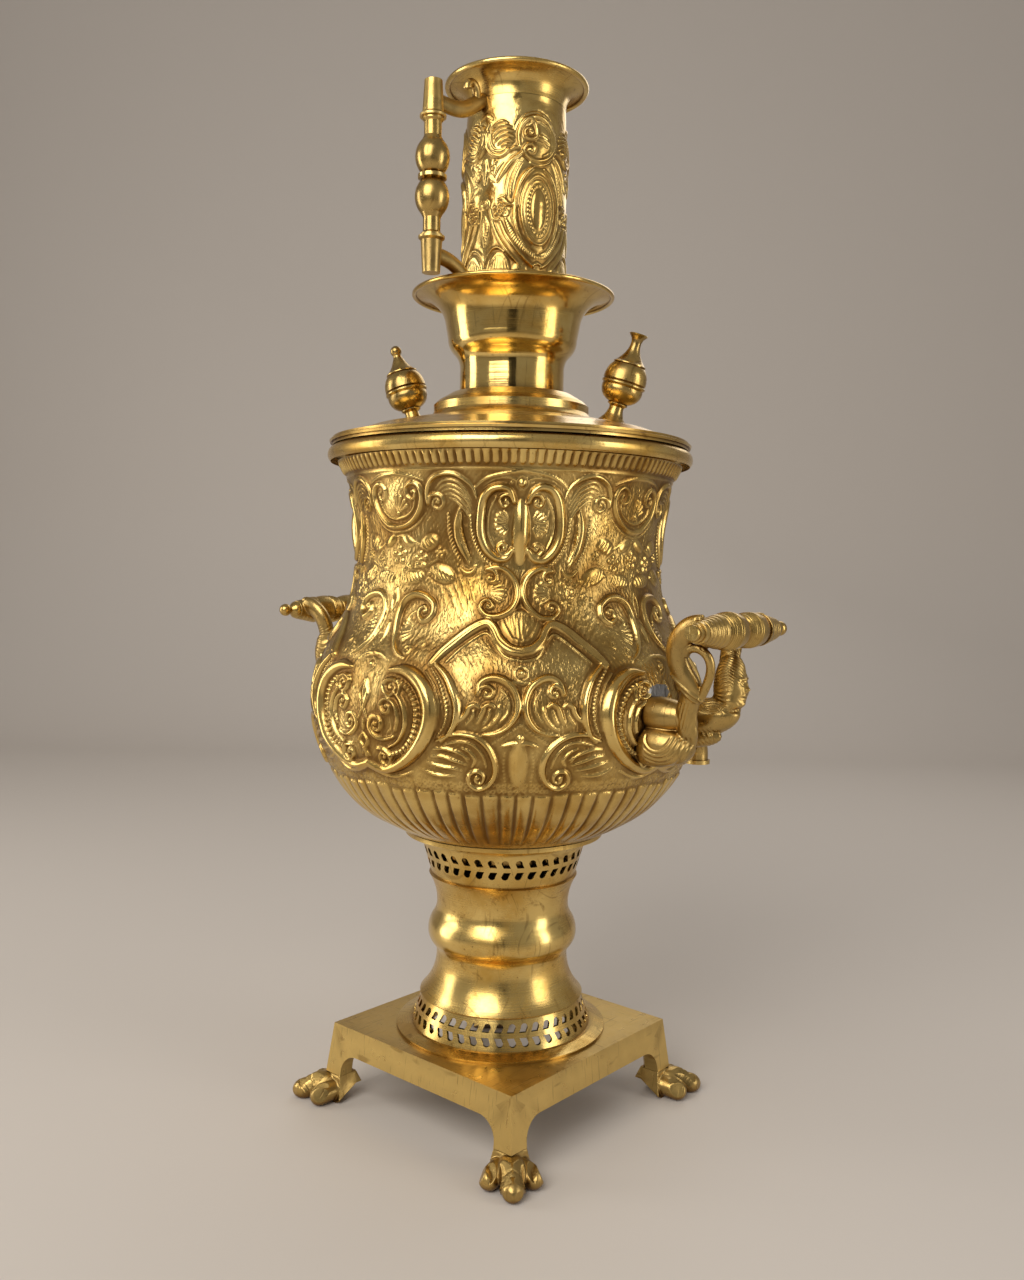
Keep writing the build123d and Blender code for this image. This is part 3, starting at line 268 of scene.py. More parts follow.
def soldered(m):
    """Share of grey solder, run out where each side handle's upper foot meets the vessel."""
    narrow = m.vector("MULTIPLY", m.place, (1.0, 0.5, 1.0))
    share = 0.0
    for side in (-1, 1):
        far = m.vector("DISTANCE", narrow, (0.1165 * side, -0.0035 * side, 0.2648))
        ragged = m.math("ADD", far, m.span(m.noise(260.0), 0.3, 0.7, -0.0008, 0.0008))
        share = m.math("ADD", share, m.span(ragged, 0.0047, 0.0041), clamp=True)
    return share


def spun_brass(name, dents=0.5, rough=0.2, soot=0.0):
    """Sheet brass turned on a lathe: faint rings, shallow dents, patchy tarnish and soot inside."""
    m = Nodes(name)
    around = lathe_coordinates(m, m.place)
    rings = m.noise(1500.0, 2.0, 0.7, vector=around)
    broad_rings = m.noise(260.0, 2.0, 0.6, vector=around)
    tarnish = m.fade(m.noise(23.0, 6.0, 0.62, 0.3), 0.42, 0.68)
    stain = m.fade(m.noise(90.0, 5.0, 0.7, 0.4), 0.60, 0.74, 0.75)
    speck = m.fade(m.noise(420.0, 3.0, 0.7), 0.66, 0.72, 0.8)
    wave = m.noise(34.0, 1.5, 0.4)
    colour = m.mix(stain, m.mix(tarnish, BRIGHT, WARM), BROWN)
    colour = m.mix(speck, colour, SPECK)
    colour = m.mix(m.span(m.crevice(0.006), 0.9, 0.45, 0.0, 0.9), colour, BROWN)
    colour = m.mix(m.math("MULTIPLY", scratched(m, 0.4), 0.35), colour, BROWN)
    shade = m.math("ADD", m.span(tarnish, 0.0, 1.0, rough, rough + 0.14),
                   m.span(rings, 0.3, 0.7, -0.03, 0.05))
    if soot:
        dark = m.math("MULTIPLY", inside(m), soot)
        colour = m.mix(dark, colour, SOOT)
        shade = m.math("ADD", shade, m.math("MULTIPLY", dark, 0.5), clamp=True)
    dented = m.bump(broad_rings, 0.16, 0.0004, m.bump(wave, dents, 0.0022))
    return m.finish(colour, shade, m.bump(rings, 0.18, 0.00012, dented))


def cast_brass(name, bright=SATIN, rough=0.31, grain=0.5):
    """Cast and filed brass: soft satin, pits, darker hollows and brighter edges."""
    m = Nodes(name)
    pits = m.noise(520.0, 4.0, 0.7)
    rub = m.noise(120.0, 3.0, 0.6)
    cast = m.noise(210.0, 4.0, 0.6)
    edge = m.add("ShaderNodeNewGeometry").outputs["Pointiness"]
    scratch = scratched(m, 1.0, 1100.0)
    colour = m.mix(m.fade(m.noise(32.0, 6.0, 0.62, 0.3), 0.38, 0.70), bright, DULL)
    colour = m.mix(m.span(m.crevice(0.007), 0.9, 0.4, 0.0, 0.9), colour, BROWN)
    colour = m.mix(m.fade(pits, 0.64, 0.71, 0.8), colour, PIT)
    colour = m.mix(m.fade(edge, 0.53, 0.60, 0.7), colour, BRIGHT)
    colour = m.mix(m.math("MULTIPLY", scratch, 0.4), colour, BROWN)
    solder = soldered(m)
    colour = m.mix(solder, colour, SOLDER)
    rubbed = m.span(rub, 0.3, 0.7, rough - 0.06, rough + 0.12)
    shade = m.math("ADD", rubbed, m.math("MULTIPLY", solder, 0.2))
    marked = m.bump(scratch, 0.25, -0.00015, m.bump(cast, grain * 0.5, 0.0006))
    return m.finish(colour, shade, m.bump(pits, grain * 0.35, 0.0002, marked))


def chased_brass(name, rough):
    """Embossed sheet brass: bright tops, brown patina left in the ground, chased hatching."""
    m = Nodes(name)
    relief = m.add("ShaderNodeAttribute", attribute_name="relief").outputs["Fac"]
    ground = m.add("ShaderNodeAttribute", attribute_name="ground").outputs["Fac"]
    patch = m.noise(26.0, 6.0, 0.62, 0.3)
    speck = m.noise(480.0, 3.0, 0.7)
    wave = m.noise(70.0, 2.0, 0.4)
    cloud = m.noise(11.0, 3.0, 0.55, 0.5)
    dirt = m.math("ADD", m.span(relief, 0.60, 0.22, 0.0, 0.85), m.span(patch, 0.35, 0.7, -0.3, 0.3))
    dirt = m.math("ADD", dirt, m.span(cloud, 0.42, 0.66, -0.22, 0.42))
    dirt = m.math("ADD", dirt, m.span(m.crevice(0.004), 0.95, 0.5, 0.0, 0.7), clamp=True)
    colour = m.mix(m.fade(patch, 0.40, 0.72), BRIGHT, WARM)
    colour = m.mix(m.math("MULTIPLY", dirt, 0.88), colour, BROWN)
    colour = m.mix(m.fade(speck, 0.66, 0.72, 0.7), colour, SPECK)
    solder = soldered(m)
    colour = m.mix(solder, colour, SOLDER)
    soiled = m.span(dirt, 0.0, 1.0, rough, rough + 0.2)
    shade = m.math("ADD", soiled, m.math("MULTIPLY", solder, 0.25))
    furrow = m.noise(640.0, 1.0, 0.5, 0.6, vector=m.mapped(m.place, Scale=(1.0, 1.0, 0.32)))
    chased = m.bump(m.math("MULTIPLY", furrow, ground), 0.8, 0.0006, m.bump(wave, 0.25, 0.0012))
    return m.finish(colour, shade, m.bump(speck, 0.1, 0.0001, chased))


def fire_iron(name):
    """Cast iron that has been in the fire: dark grey with rust."""
    m = Nodes(name)
    rust = m.noise(150.0, 6.0, 0.7)
    colour = m.mix(m.fade(rust, 0.45, 0.6), (0.05, 0.045, 0.04), (0.13, 0.06, 0.03))
    return m.finish(colour, m.span(rust, 0.3, 0.7, 0.55, 0.85), m.bump(rust, 0.5, 0.0006), 0.6)


SOOTY = ("pedestal_column", "pierced_foot_band", "pierced_top_band")
SPUN = spun_brass("spun_brass")
PIERCED = spun_brass("pierced_brass", dents=0.8, rough=0.2, soot=0.96)
POLISHED = spun_brass("polished_brass", dents=0.3, rough=0.09)
CAST = cast_brass("cast_brass")
TURNED = cast_brass("turned_brass", bright=TURNED_TONE, rough=0.25, grain=0.25)
CHASED = chased_brass("chased_brass", rough=0.2)
IRON = fire_iron("fire_iron")

FINISH = {
    "spun_brass": SPUN,
    "embossed_brass": CHASED,
    "cast_brass": CAST,
    "turned_brass": TURNED,
    "fire_iron": IRON,
}


def dress_cad():
    """Every node of the frame takes the finish of its slot."""
    slots = {entry["node"]: entry["material_slot"] for entry in frame["record"]["subparts"]}
    for name, obj in NODES.items():
        own = PIERCED if name in SOOTY else POLISHED if name == "teapot_cup" else FINISH[slots[name]]
        dress(obj, own)
        obj.data.shade_smooth()
    return slots


SLOTS = dress_cad()


def stage_piece(name, corners, faces, colour, roughness):
    """A plain smooth piece of the studio, its corners given as ahead, side and height."""
    mesh = bpy.data.meshes.new(name)
    mesh.from_pydata([stand_point(*corner) for corner in corners], [], faces)
    mesh.shade_smooth()
    obj = add_object(name, mesh)
    m = Nodes(name)
    m.put(m.shader, "Base Color", (*colour, 1))
    m.put(m.shader, "Roughness", roughness)
    dress(obj, m.material)
    return obj


def floor():
    """A pale floor that curves up behind the object."""
    half, back, bend, top, steps = 3.2, 1.3, 0.5, 3.2, 12
    turns = [math.pi / 2 * step / steps for step in range(1, steps + 1)]
    curve = [(back + bend * math.sin(turn), bend - bend * math.cos(turn)) for turn in turns]
    profile = [(-2.6, 0.0), (back, 0.0), *curve, (back + bend, top)]
    corners = [(ahead, side, height) for ahead, height in profile for side in (-half, half)]
    faces = [(i, i + 1, i + 3, i + 2) for i in range(0, len(corners) - 2, 2)]
    stage_piece("floor", corners, faces, (0.62, 0.57, 0.52), 0.6)


def dark_card():
    """A narrow dark card behind the viewer, seen only in the polished brass."""
    corners = [(-1.6, -0.22, 0.1), (-1.6, 0.24, 0.1), (-1.6, 0.24, 1.5), (-1.6, -0.22, 1.5)]
    card = stage_piece("dark_card", corners, [(0, 1, 2, 3)], (0.02, 0.017, 0.015), 0.9)
    card.visible_camera = card.visible_shadow = card.visible_diffuse = False


floor()
dark_card()


# ---------------------------------------------------------------- chased relief


def smooth_path(points, step=1.0):
    """A Catmull-Rom line through the points, sampled every step or so."""
    p = np.array(points, float)
    if len(p) < 3:
        return p
    ends = np.vstack([2 * p[0] - p[1], p, 2 * p[-1] - p[-2]])
    out = [p[:1]]
    for a, b, c, d in zip(ends, ends[1:], ends[2:], ends[3:]):
        count = max(2, int(np.hypot(*(c - b)) / step) + 1)
        t = np.linspace(0, 1, count + 1)[1:, None]
        square, cube = (2 * a - 5 * b + 4 * c - d) * t**2, (3 * b - a - 3 * c + d) * t**3
        out.append(0.5 * (2 * b + (c - a) * t + square + cube))
    return np.vstack(out)


def value_noise(shape, cells, seed, wrap=False):
    """Smooth noise from -1 to 1 over an array, with that many cells down and across."""
    rng = np.random.default_rng(seed)
    grid = rng.uniform(-1, 1, (cells[0] + 2, cells[1] + 2))
    if wrap:
        grid[:, -2:] = grid[:, :2]
    rows = np.linspace(0, cells[0], shape[0])
    columns = np.linspace(0, cells[1], shape[1], endpoint=not wrap)
    r, c = np.minimum(rows.astype(int), cells[0]), np.minimum(columns.astype(int), cells[1])
    fr, fc = (rows - r)[:, None], (columns - c)[None, :]
    fr, fc = fr * fr * (3 - 2 * fr), fc * fc * (3 - 2 * fc)
    top = grid[np.ix_(r, c)] * (1 - fc) + grid[np.ix_(r, c + 1)] * fc
    low = grid[np.ix_(r + 1, c)] * (1 - fc) + grid[np.ix_(r + 1, c + 1)] * fc
    return top * (1 - fr) + low * fr


def blur(field, amount):
    """A Gaussian blur by that many samples, which wraps round across."""
    height = field.shape[0]
    padded = np.vstack([field[::-1], field, field[::-1]])
    fy = np.fft.fftfreq(padded.shape[0])[:, None]
    fx = np.fft.fftfreq(padded.shape[1])[None, :]
    kernel = np.exp(-2 * np.pi**2 * ((fy * amount) ** 2 + (fx * amount) ** 2))
    return np.real(np.fft.ifft2(np.fft.fft2(padded) * kernel))[height : 2 * height]


class Relief:
    """A chased sheet as a height map. x is in degrees round the axis, z up in millimetres."""

    def __init__(self, x_span, z_span, x_step, z_step, radius_at, mirror=None, seed=1):
        self.x = np.arange(x_span[0], x_span[1], x_step)
        self.z = np.arange(z_span[0], z_span[1], z_step)
        self.radius_at = radius_at
        self.mirror = mirror
        self.rng = np.random.default_rng(seed)
        names = ("hill", "line", "edge", "cut", "plain")
        self.layers = {name: np.zeros((len(self.z), len(self.x))) for name in names}

    def scale(self, z):
        """Millimetres to a degree at height z."""
        return float(self.radius_at(z)) * math.pi / 180

    def window(self, low, high):
        """The part of the map between two corners, or None off the map."""
        c0, c1 = np.searchsorted(self.x, (low[0], high[0]))
        r0, r1 = np.searchsorted(self.z, (low[1], high[1]))
        return (slice(r0, r1), slice(c0, c1)) if r1 > r0 and c1 > c0 else None

    def sides(self, points, jitter, both):
        """The points, a little shaken, and their mirror image on the panel's other side."""
        p = np.array(points, float)
        for mirrored in (False, True) if both and self.mirror is not None else (False,):
            q = p + self.rng.normal(0, jitter, p.shape) * (1 / self.scale(p[:, 1].mean()), 1)
            if mirrored:
                q[:, 0] = 2 * self.mirror - q[:, 0]
            yield q, mirrored

    def press(self, box, kind, body, share, past, edge, clear):
        """Puts a form on its layer: share is 0 at its middle and 1 at its side, past is mm beyond it."""
        def most(layer, value):
            self.layers[layer][box] = np.maximum(self.layers[layer][box], value)

        most(kind, body)
        if kind == "line":
            most("edge", edge * np.exp(-(((past - 0.35) / 0.5) ** 2)))
        if kind != "cut" and clear:
            most("plain", np.clip(1.6 - share * 1.2, 0, 1) * clear)

    def heights(self):
        """The whole height map."""
        lines = self.layers["line"]
        out = self.layers["hill"] + lines - 0.8 * self.layers["cut"]
        return out - self.layers["edge"] * np.exp(-lines / 0.25)

    def curled(self, points, start=None, end=None):
        """Adds a spiral at either end, round a centre (x, z, turns)."""
        p = [tuple(q) for q in points]
        for curl, last in ((end, -1), (start, 0)):
            if curl is None:
                continue
            cx, cz, turns = curl
            k = self.scale(cz)
            x, z = p[last]
            radius, angle = math.hypot((x - cx) * k, z - cz), math.atan2(z - cz, (x - cx) * k)
            steps = max(6, int(abs(turns) * 14))
            spiral = []
            for i in range(1, steps + 1):
                t = i / steps
                r, a = radius * (1 - 0.78 * t**0.8), angle + 2 * math.pi * turns * t
                spiral.append((cx + r * math.cos(a) / k, cz + r * math.sin(a)))
            p = p + spiral if last else spiral[::-1] + p
        return p

    def stroke(self, points, half=1.5, height=1.0, power=0.75, ticks=0.0, lean=0.6, deep=0.6,
               edge=0.3, kind="line", both=True, jitter=0.12):
        """A raised or cut line along the points, its half width and height given along it."""
        half, height = np.atleast_1d(half).astype(float), np.atleast_1d(height).astype(float)
        for p, _ in self.sides(points, jitter, both):
            k = self.scale(p[:, 1].mean())
            p = smooth_path(p * (k, 1), 1.1) / (k, 1)
            reach = half.max() + 1.2
            box = self.window(p.min(0) - (reach / k, reach), p.max(0) + (reach / k, reach))
            if box is None:
                continue
            gx, gz = (self.x[box[1]] * k)[None, :, None], self.z[box[0]][:, None, None]
            q = p * (k, 1)
            a, d = q[:-1], q[1:] - q[:-1]
            length = np.maximum(np.hypot(d[:, 0], d[:, 1]), 1e-6)
            t = np.clip(((gx - a[:, 0]) * d[:, 0] + (gz - a[:, 1]) * d[:, 1]) / length**2, 0, 1)
            ox, oz = gx - a[:, 0] - t * d[:, 0], gz - a[:, 1] - t * d[:, 1]
            far = ox**2 + oz**2
            near = far.argmin(2)[..., None]

            def pick(values):
                return np.take_along_axis(values, near, 2)[..., 0]

            dist = np.sqrt(pick(far))
            run = np.concatenate([[0], np.cumsum(length)])
            s = run[near[..., 0]] + pick(t) * length[near[..., 0]]
            share = s / run[-1]
            w = np.interp(share, np.linspace(0, 1, len(half)), half)
            h = np.interp(share, np.linspace(0, 1, len(height)), height)
            u = dist / w
            body = h * np.clip(1 - u**2, 0, None) ** power
            if ticks:
                nx, nz = d[:, 0] / length, d[:, 1] / length
                aside = pick(ox) * -nz[near[..., 0]] + pick(oz) * nx[near[..., 0]]
                body = body * (1 - deep * (0.5 - 0.5 * np.cos(2 * np.pi * (s + lean * aside) / ticks)))
            self.press(box, kind, body, u, dist - w, edge, min(1, h.max()))

    def dome(self, x, z, across, up, height, turn=0.0, power=0.7, kind="line", both=True, edge=0.3,
             plain=True):
        """A raised oval."""
        for p, mirrored in self.sides([(x, z)], 0.1, both):
            k = self.scale(p[0, 1])
            reach = max(across, up) + 1.2
            box = self.window(p[0] - (reach / k, reach), p[0] + (reach / k, reach))
            if box is None:
                continue
            gx, gz = ((self.x[box[1]] - p[0, 0]) * k)[None, :], (self.z[box[0]] - p[0, 1])[:, None]
            c, s = math.cos(turn), math.sin(-turn if mirrored else turn)
            u = np.sqrt(((gx * c + gz * s) / across) ** 2 + ((gz * c - gx * s) / up) ** 2)
            body = height * np.clip(1 - u**2, 0, None) ** power
            self.press(box, kind, body, u, (u - 1) * min(across, up), edge, plain)

    def ring(self, x, z, radius, half=0.5, height=0.6, both=True, eye=0.0):
        """A raised circle, with a small dome in its middle where eye gives its radius."""
        k = self.scale(z)
        turn = np.linspace(0, 2 * math.pi, 17)
        circle = np.stack([x + radius * np.cos(turn) / k, z + radius * np.sin(turn)], 1)
        self.stroke(circle, half, height, both=both, edge=0.15)
        if eye:
            self.dome(x, z, eye, eye, height * 1.3, both=both, edge=0.15)

    def fan(self, x, z, low, high, inner, outer, count, height=0.9, tip=0.0, both=True):
        """Ribs that spread from a point, between two angles in degrees, like a shell."""
        k = self.scale(z)
        pitch = abs(math.radians(high - low)) / count / 2 * 0.9
        for i in range(count):
            share = (i + 0.5) / count
            angle = math.radians(low + (high - low) * share)
            reach = outer * (1 - tip * abs(2 * share - 1) ** 2)
            across, up = math.cos(angle) / k, math.sin(angle)
            rib = [(x + across * far, z + up * far) for far in (inner, reach)]
            halves = [max(0.35, pitch * inner), pitch * reach]
            self.stroke(rib, halves, [0.5 * height, height], both=both, jitter=0.06)

    def beads(self, points, pitch, size, height=0.7, both=True):
        """Small domes along the points."""
        k = self.scale(np.mean([p[1] for p in points]))
        p = smooth_path(np.array(points, float) * (k, 1), 0.4)
        run = np.concatenate([[0], np.cumsum(np.hypot(*(p[1:] - p[:-1]).T))])
        for s in np.arange(size, run[-1], pitch):
            x, z = np.interp(s, run, p[:, 0]) / k, np.interp(s, run, p[:, 1])
            self.dome(x, z, size, size, height, both=both, edge=0.1)


def draw_panel(r):
    """A quarter of the vessel: the panel between two medallions, its left half mirrored to the right."""
    # Central cartouche: two facing scrolls with shell fans, round a smooth almond
    r.dome(135, 350, 5.6, 19, 1.7, kind="hill", both=False, power=1.0)
    r.dome(135, 350, 5.0, 18, 1.6, power=1.1, both=False)
    r.stroke([(135, 367), (135, 350), (135, 333)], [0.4, 1.3, 0.4], [0.3, 0.7, 0.3], both=False)
    body = [(132.6, 366), (131.3, 371.3), (128.6, 373.2), (125.2, 371.6), (122.6, 366.5), (121.6, 358),
            (121.8, 348), (123.8, 340), (127.2, 335.2), (130.6, 335.8), (132.2, 340)]
    body = r.curled(body, start=(129.7, 365.6, 1.25), end=(129.5, 341, -1.25))
    r.stroke(body, [0.8, 1.3, 2.3, 2.7, 2.7, 2.3, 1.3, 0.8], [1.4, 1.9, 2.4, 2.4, 1.9, 1.4])
    r.stroke([(126.8, 368), (124.4, 360), (124.2, 349), (126.2, 341)], 0.6, 1.1)
    r.dome(129.7, 365.6, 1.2, 1.2, 1.7)
    r.dome(129.5, 341, 1.2, 1.2, 1.7)
    r.fan(132.2, 354, 118, 242, 3.0, 9.2, 8, 1.2, tip=0.22)
    r.stroke([(119.5, 372), (124, 377.5), (129.5, 380.2), (135, 381.5)], [0.5, 0.9, 1.1, 1.1], 0.9)
    r.stroke([(122.5, 373), (126, 376.6), (130.5, 378), (133, 377)], [0.4, 0.7, 0.6], 0.7)
    r.dome(135, 375.4, 2.3, 2.3, 1.5, both=False)
    r.ring(135, 375.4, 3.3, 0.45, 0.7, both=False)
    r.dome(131.6, 375.6, 1.1, 1.0, 0.8)
    # Feathered crests beside it
    crest = [(103.6, 364), (103.6, 370.5), (105.2, 376), (108.6, 379.2), (112.6, 379.6), (116.2, 377),
             (119, 372.5), (120.3, 366.5)]
    r.stroke(r.curled(crest, start=(107, 364.3, -1.6)), [0.6, 0.8, 1.3, 1.6, 1.4, 0.7], [1.1, 1.5, 1.7, 1.2])
    r.dome(107, 364.3, 1.2, 1.2, 1.4)
    for i in range(5):
        drop, cut = 2.6 * i, 1.0 * i
        r.stroke(
            [(106.5 + cut, 371.5 - 0.4 * drop), (109.5 + 0.6 * cut, 376 - 0.9 * drop), (113.4, 375.6 - drop),
             (116.6, 371.5 - 1.1 * drop), (118.6, 365 - 1.1 * drop)],
            [0.3, 0.7, 0.9, 0.7, 0.3], [0.5, 1.1, 0.6], edge=0.25,
        )
    r.stroke([(114.6, 361), (113.9, 354), (114.4, 346), (116, 339), (118.2, 332.5)],
             [0.8, 2.7, 3.0, 2.4, 0.8], [1.2, 2.2, 2.2, 1.4])
    r.stroke([(115.2, 359), (115.4, 350), (117, 341), (118.6, 334)], [0.3, 0.8, 0.3], [2.2, 2.9, 2.0])
    r.stroke([(115.2, 330.2), (117, 327.4), (119.2, 327.8), (120.3, 330.6)], [0.6, 1.5, 1.5, 0.5], 1.5)
    r.stroke([(110.6, 358), (110.9, 349), (112.6, 340.5), (115, 333.5)], [0.7, 1.3, 1.3, 0.6], 1.3,
             ticks=2.0, deep=0.8)
    r.stroke([(118.3, 357), (118.8, 349), (120.5, 341), (123.6, 334), (126.8, 331)], [0.6, 1.2, 1.2, 0.7],
             1.3, ticks=1.9, deep=0.8)
    # Upper medallion on the handles' line
    loop = [(90, 352), (93.8, 353), (97.4, 356.5), (100.2, 362), (101.4, 368.5), (100.3, 373.6),
            (97.6, 375.4), (95.2, 373)]
    r.stroke(r.curled(loop, end=(97.4, 369.8, 0.9)), [1.7, 2.0, 1.8, 1.4, 0.9, 0.7], [1.9, 2.0, 1.7, 1.3])
    r.stroke([(90, 356.5), (94, 357.8), (97.2, 361.5), (98.2, 366)], [0.8, 0.8, 0.5], 1.0)
    r.stroke([(90, 349.2), (94.5, 350.2), (99, 353.8), (102.6, 359.5)], [0.8, 0.8, 0.3], 0.9)
    r.fan(90, 359.5, 20, 160, 2.0, 9.5, 7, 1.1, both=False, tip=0.2)
    r.dome(90, 359.5, 1.8, 1.8, 1.4, both=False)
    r.stroke([(90, 380.5), (94, 380), (98.5, 378.5), (102.4, 376)], [1.0, 0.9, 0.4], 1.0)
    # Flower sprays between the crests and the big scrolls
    for x, z, size in ((99.6, 334.2, 1.0), (90, 336.5, 1.1), (107.5, 337.8, 0.62)):
        for i in range(5):
            turn = 2 * math.pi * i / 5 + 0.3
            petal = x + 3.4 * size * math.cos(turn) / 1.62, z + 3.4 * size * math.sin(turn)
            r.dome(*petal, 1.9 * size, 1.9 * size, 1.0)
        r.dome(x, z, 1.7 * size, 1.7 * size, 1.5)
    r.dome(108.6, 326.6, 8.4, 4.9, 1.3, turn=-0.35)
    for i in range(6):
        r.stroke([(104.6 + i * 1.45, 329.8 - i * 1.0), (106.0 + i * 1.45, 324.9 - i * 0.55)], 0.4, 0.6,
                 kind="cut")
    r.dome(103.6, 343.2, 6.6, 4.4, 1.2, turn=0.35)
    for i in range(4):
        r.stroke([(100.6 + i * 1.9, 344 + i * 0.7), (102.4 + i * 1.7, 340.6 + i * 1.0)], 0.4, 0.6, kind="cut")
    r.dome(96.6, 324.6, 8.2, 4.0, 1.2, turn=0.12)
    for i in range(6):
        r.stroke([(92.6 + i * 1.55, 326.6), (93.8 + i * 1.55, 322.6)], 0.4, 0.6, kind="cut")
    r.dome(94.2, 344.4, 5.4, 3.0, 1.1, turn=-0.5)
    r.stroke([(90, 347), (93.4, 347.4), (97, 343.6), (100, 341.2), (102.6, 338.4)], [0.7, 0.6, 0.4], 0.8)
    r.stroke([(94, 331), (96.4, 329.6), (99.6, 330.2), (103.4, 331.8), (106.8, 334.2)], [0.6, 0.5], 0.8)
    r.dome(103.7, 326.8, 1.2, 1.2, 1.1)
    # Pair of scrolls that stand on the arch
    scroll = [(124.2, 329.6), (127.6, 330.6), (131.2, 328.4), (133.6, 322.8), (133.9, 315.6), (131.9, 309),
              (128.4, 305), (124.6, 304.8), (122.6, 308.4)]
    r.stroke(r.curled(scroll, start=(125.4, 325.2, -0.9), end=(124.9, 310.2, -1.0)),
             [0.9, 1.3, 1.9, 2.1, 1.9, 1.3, 0.8], [1.4, 1.9, 2.3, 1.9, 1.4])
    r.dome(125.4, 325.2, 1.3, 1.3, 1.8)
    r.dome(124.9, 310.2, 1.3, 1.3, 1.8)
    r.fan(123.6, 317.8, -42, 44, 3.4, 10.4, 6, 1.2, tip=0.2)
    # Arch with its fan boss
    arch = [(110.6, 280.5), (113.4, 287.4), (117.2, 293.8), (121.2, 298.8), (125.0, 301.4), (127.2, 298.6),
            (129, 292.8), (131.8, 288.6), (135, 287.2)]
    r.stroke(arch, [2.2, 2.8, 2.9, 2.9, 2.7, 2.6, 2.7, 2.8, 2.8], [1.9, 2.4, 2.4], power=0.55)
    r.stroke(arch, 0.5, 0.7, kind="cut", jitter=0.05)
    r.stroke([(114.8, 281.8), (118.2, 288.6), (122, 294), (125.2, 296.4), (127.4, 292.2), (130.6, 284.8),
              (135, 282.6)], 0.8, 1.1)
    r.dome(135, 300.4, 11.6, 9.6, 1.9, both=False, power=0.6)
    for i in range(13):
        lean = (i - 6) / 6
        r.stroke(
            [(135 + lean * 2.4, 293.4 + 1.2 * lean**2), (135 + lean * 3.9, 299.5),
             (135 + lean * 4.9, 306.6 - 2.4 * lean**2)],
            0.42, 0.75, kind="cut", both=False, jitter=0.2,
        )
    # Knob and swirl under the arch
    r.dome(135, 276.4, 2.2, 2.2, 2.1, both=False)
    r.ring(135, 276.4, 3.7, 0.6, 1.0, both=False)
    r.stroke([(128.4, 276), (131.6, 272.6), (135, 271.2)], [0.5, 1.0, 1.2], 1.0)
    # Lower pair of scrolls with acanthus
    scroll = [(124.0, 266.4), (124.6, 271.6), (127.2, 274.2), (130.2, 273), (132.8, 268.6), (134.0, 261.6),
              (133.6, 254.4), (131.4, 248.4), (128.4, 245.2), (125, 244)]
    r.stroke(r.curled(scroll, start=(126.3, 266.4, -1.2)), [0.8, 1.3, 2.0, 2.3, 2.2, 1.5, 0.5],
             [1.5, 2.0, 2.4, 2.2, 1.2])
    r.stroke([(129.4, 269), (131.4, 263.6), (131.6, 256.6), (129.6, 251.2)], [0.4, 0.7, 0.4], 1.0)
    r.dome(126.3, 266.4, 1.2, 1.2, 1.8)
    for x, z, bow in ((123.2, 260.6, 1.4), (127.2, 260.9, 1.0)):
        r.stroke([(x + 1.0, z - 1.6), (x, z), (x - 1.5, z - 1.6), (x - 2.1, z - 5),
                  (x - 3.2 * bow, z - 10.5)], [0.7, 1.3, 1.5, 1.5, 0.7], [1.4, 1.9, 1.5, 0.9])
        r.stroke([(x - 0.2, z - 3), (x - 0.4, z - 6), (x - 1.6 * bow, z - 11)], [0.5, 0.9, 0.4], 1.2)
    r.stroke([(129.2, 259.6), (129.4, 255.6), (127.6, 250.2), (125.2, 246.8)], [0.6, 0.9, 0.4], 1.1)
    # Upright mouldings between panel and medallion
    r.stroke([(112.4, 279.6), (115.4, 274), (117.6, 266.4), (118.6, 258.4), (118.2, 250.4), (116.6, 244),
              (114.4, 240)],
             [1.6, 2.2, 2.5, 2.5, 2.3, 1.8, 0.9], [1.9, 2.6, 2.8, 2.4, 1.4])
    r.stroke([(111, 277.6), (113.6, 271.4), (115.3, 263.4), (115.9, 256), (115.4, 248.6), (113.6, 242.4)],
             [0.9, 1.2, 1.2, 0.8], 1.5, ticks=2.2, deep=0.7)
    r.stroke([(109.4, 276), (112, 270), (113.8, 262), (114.2, 254), (113.4, 246)], 0.7, 1.3)
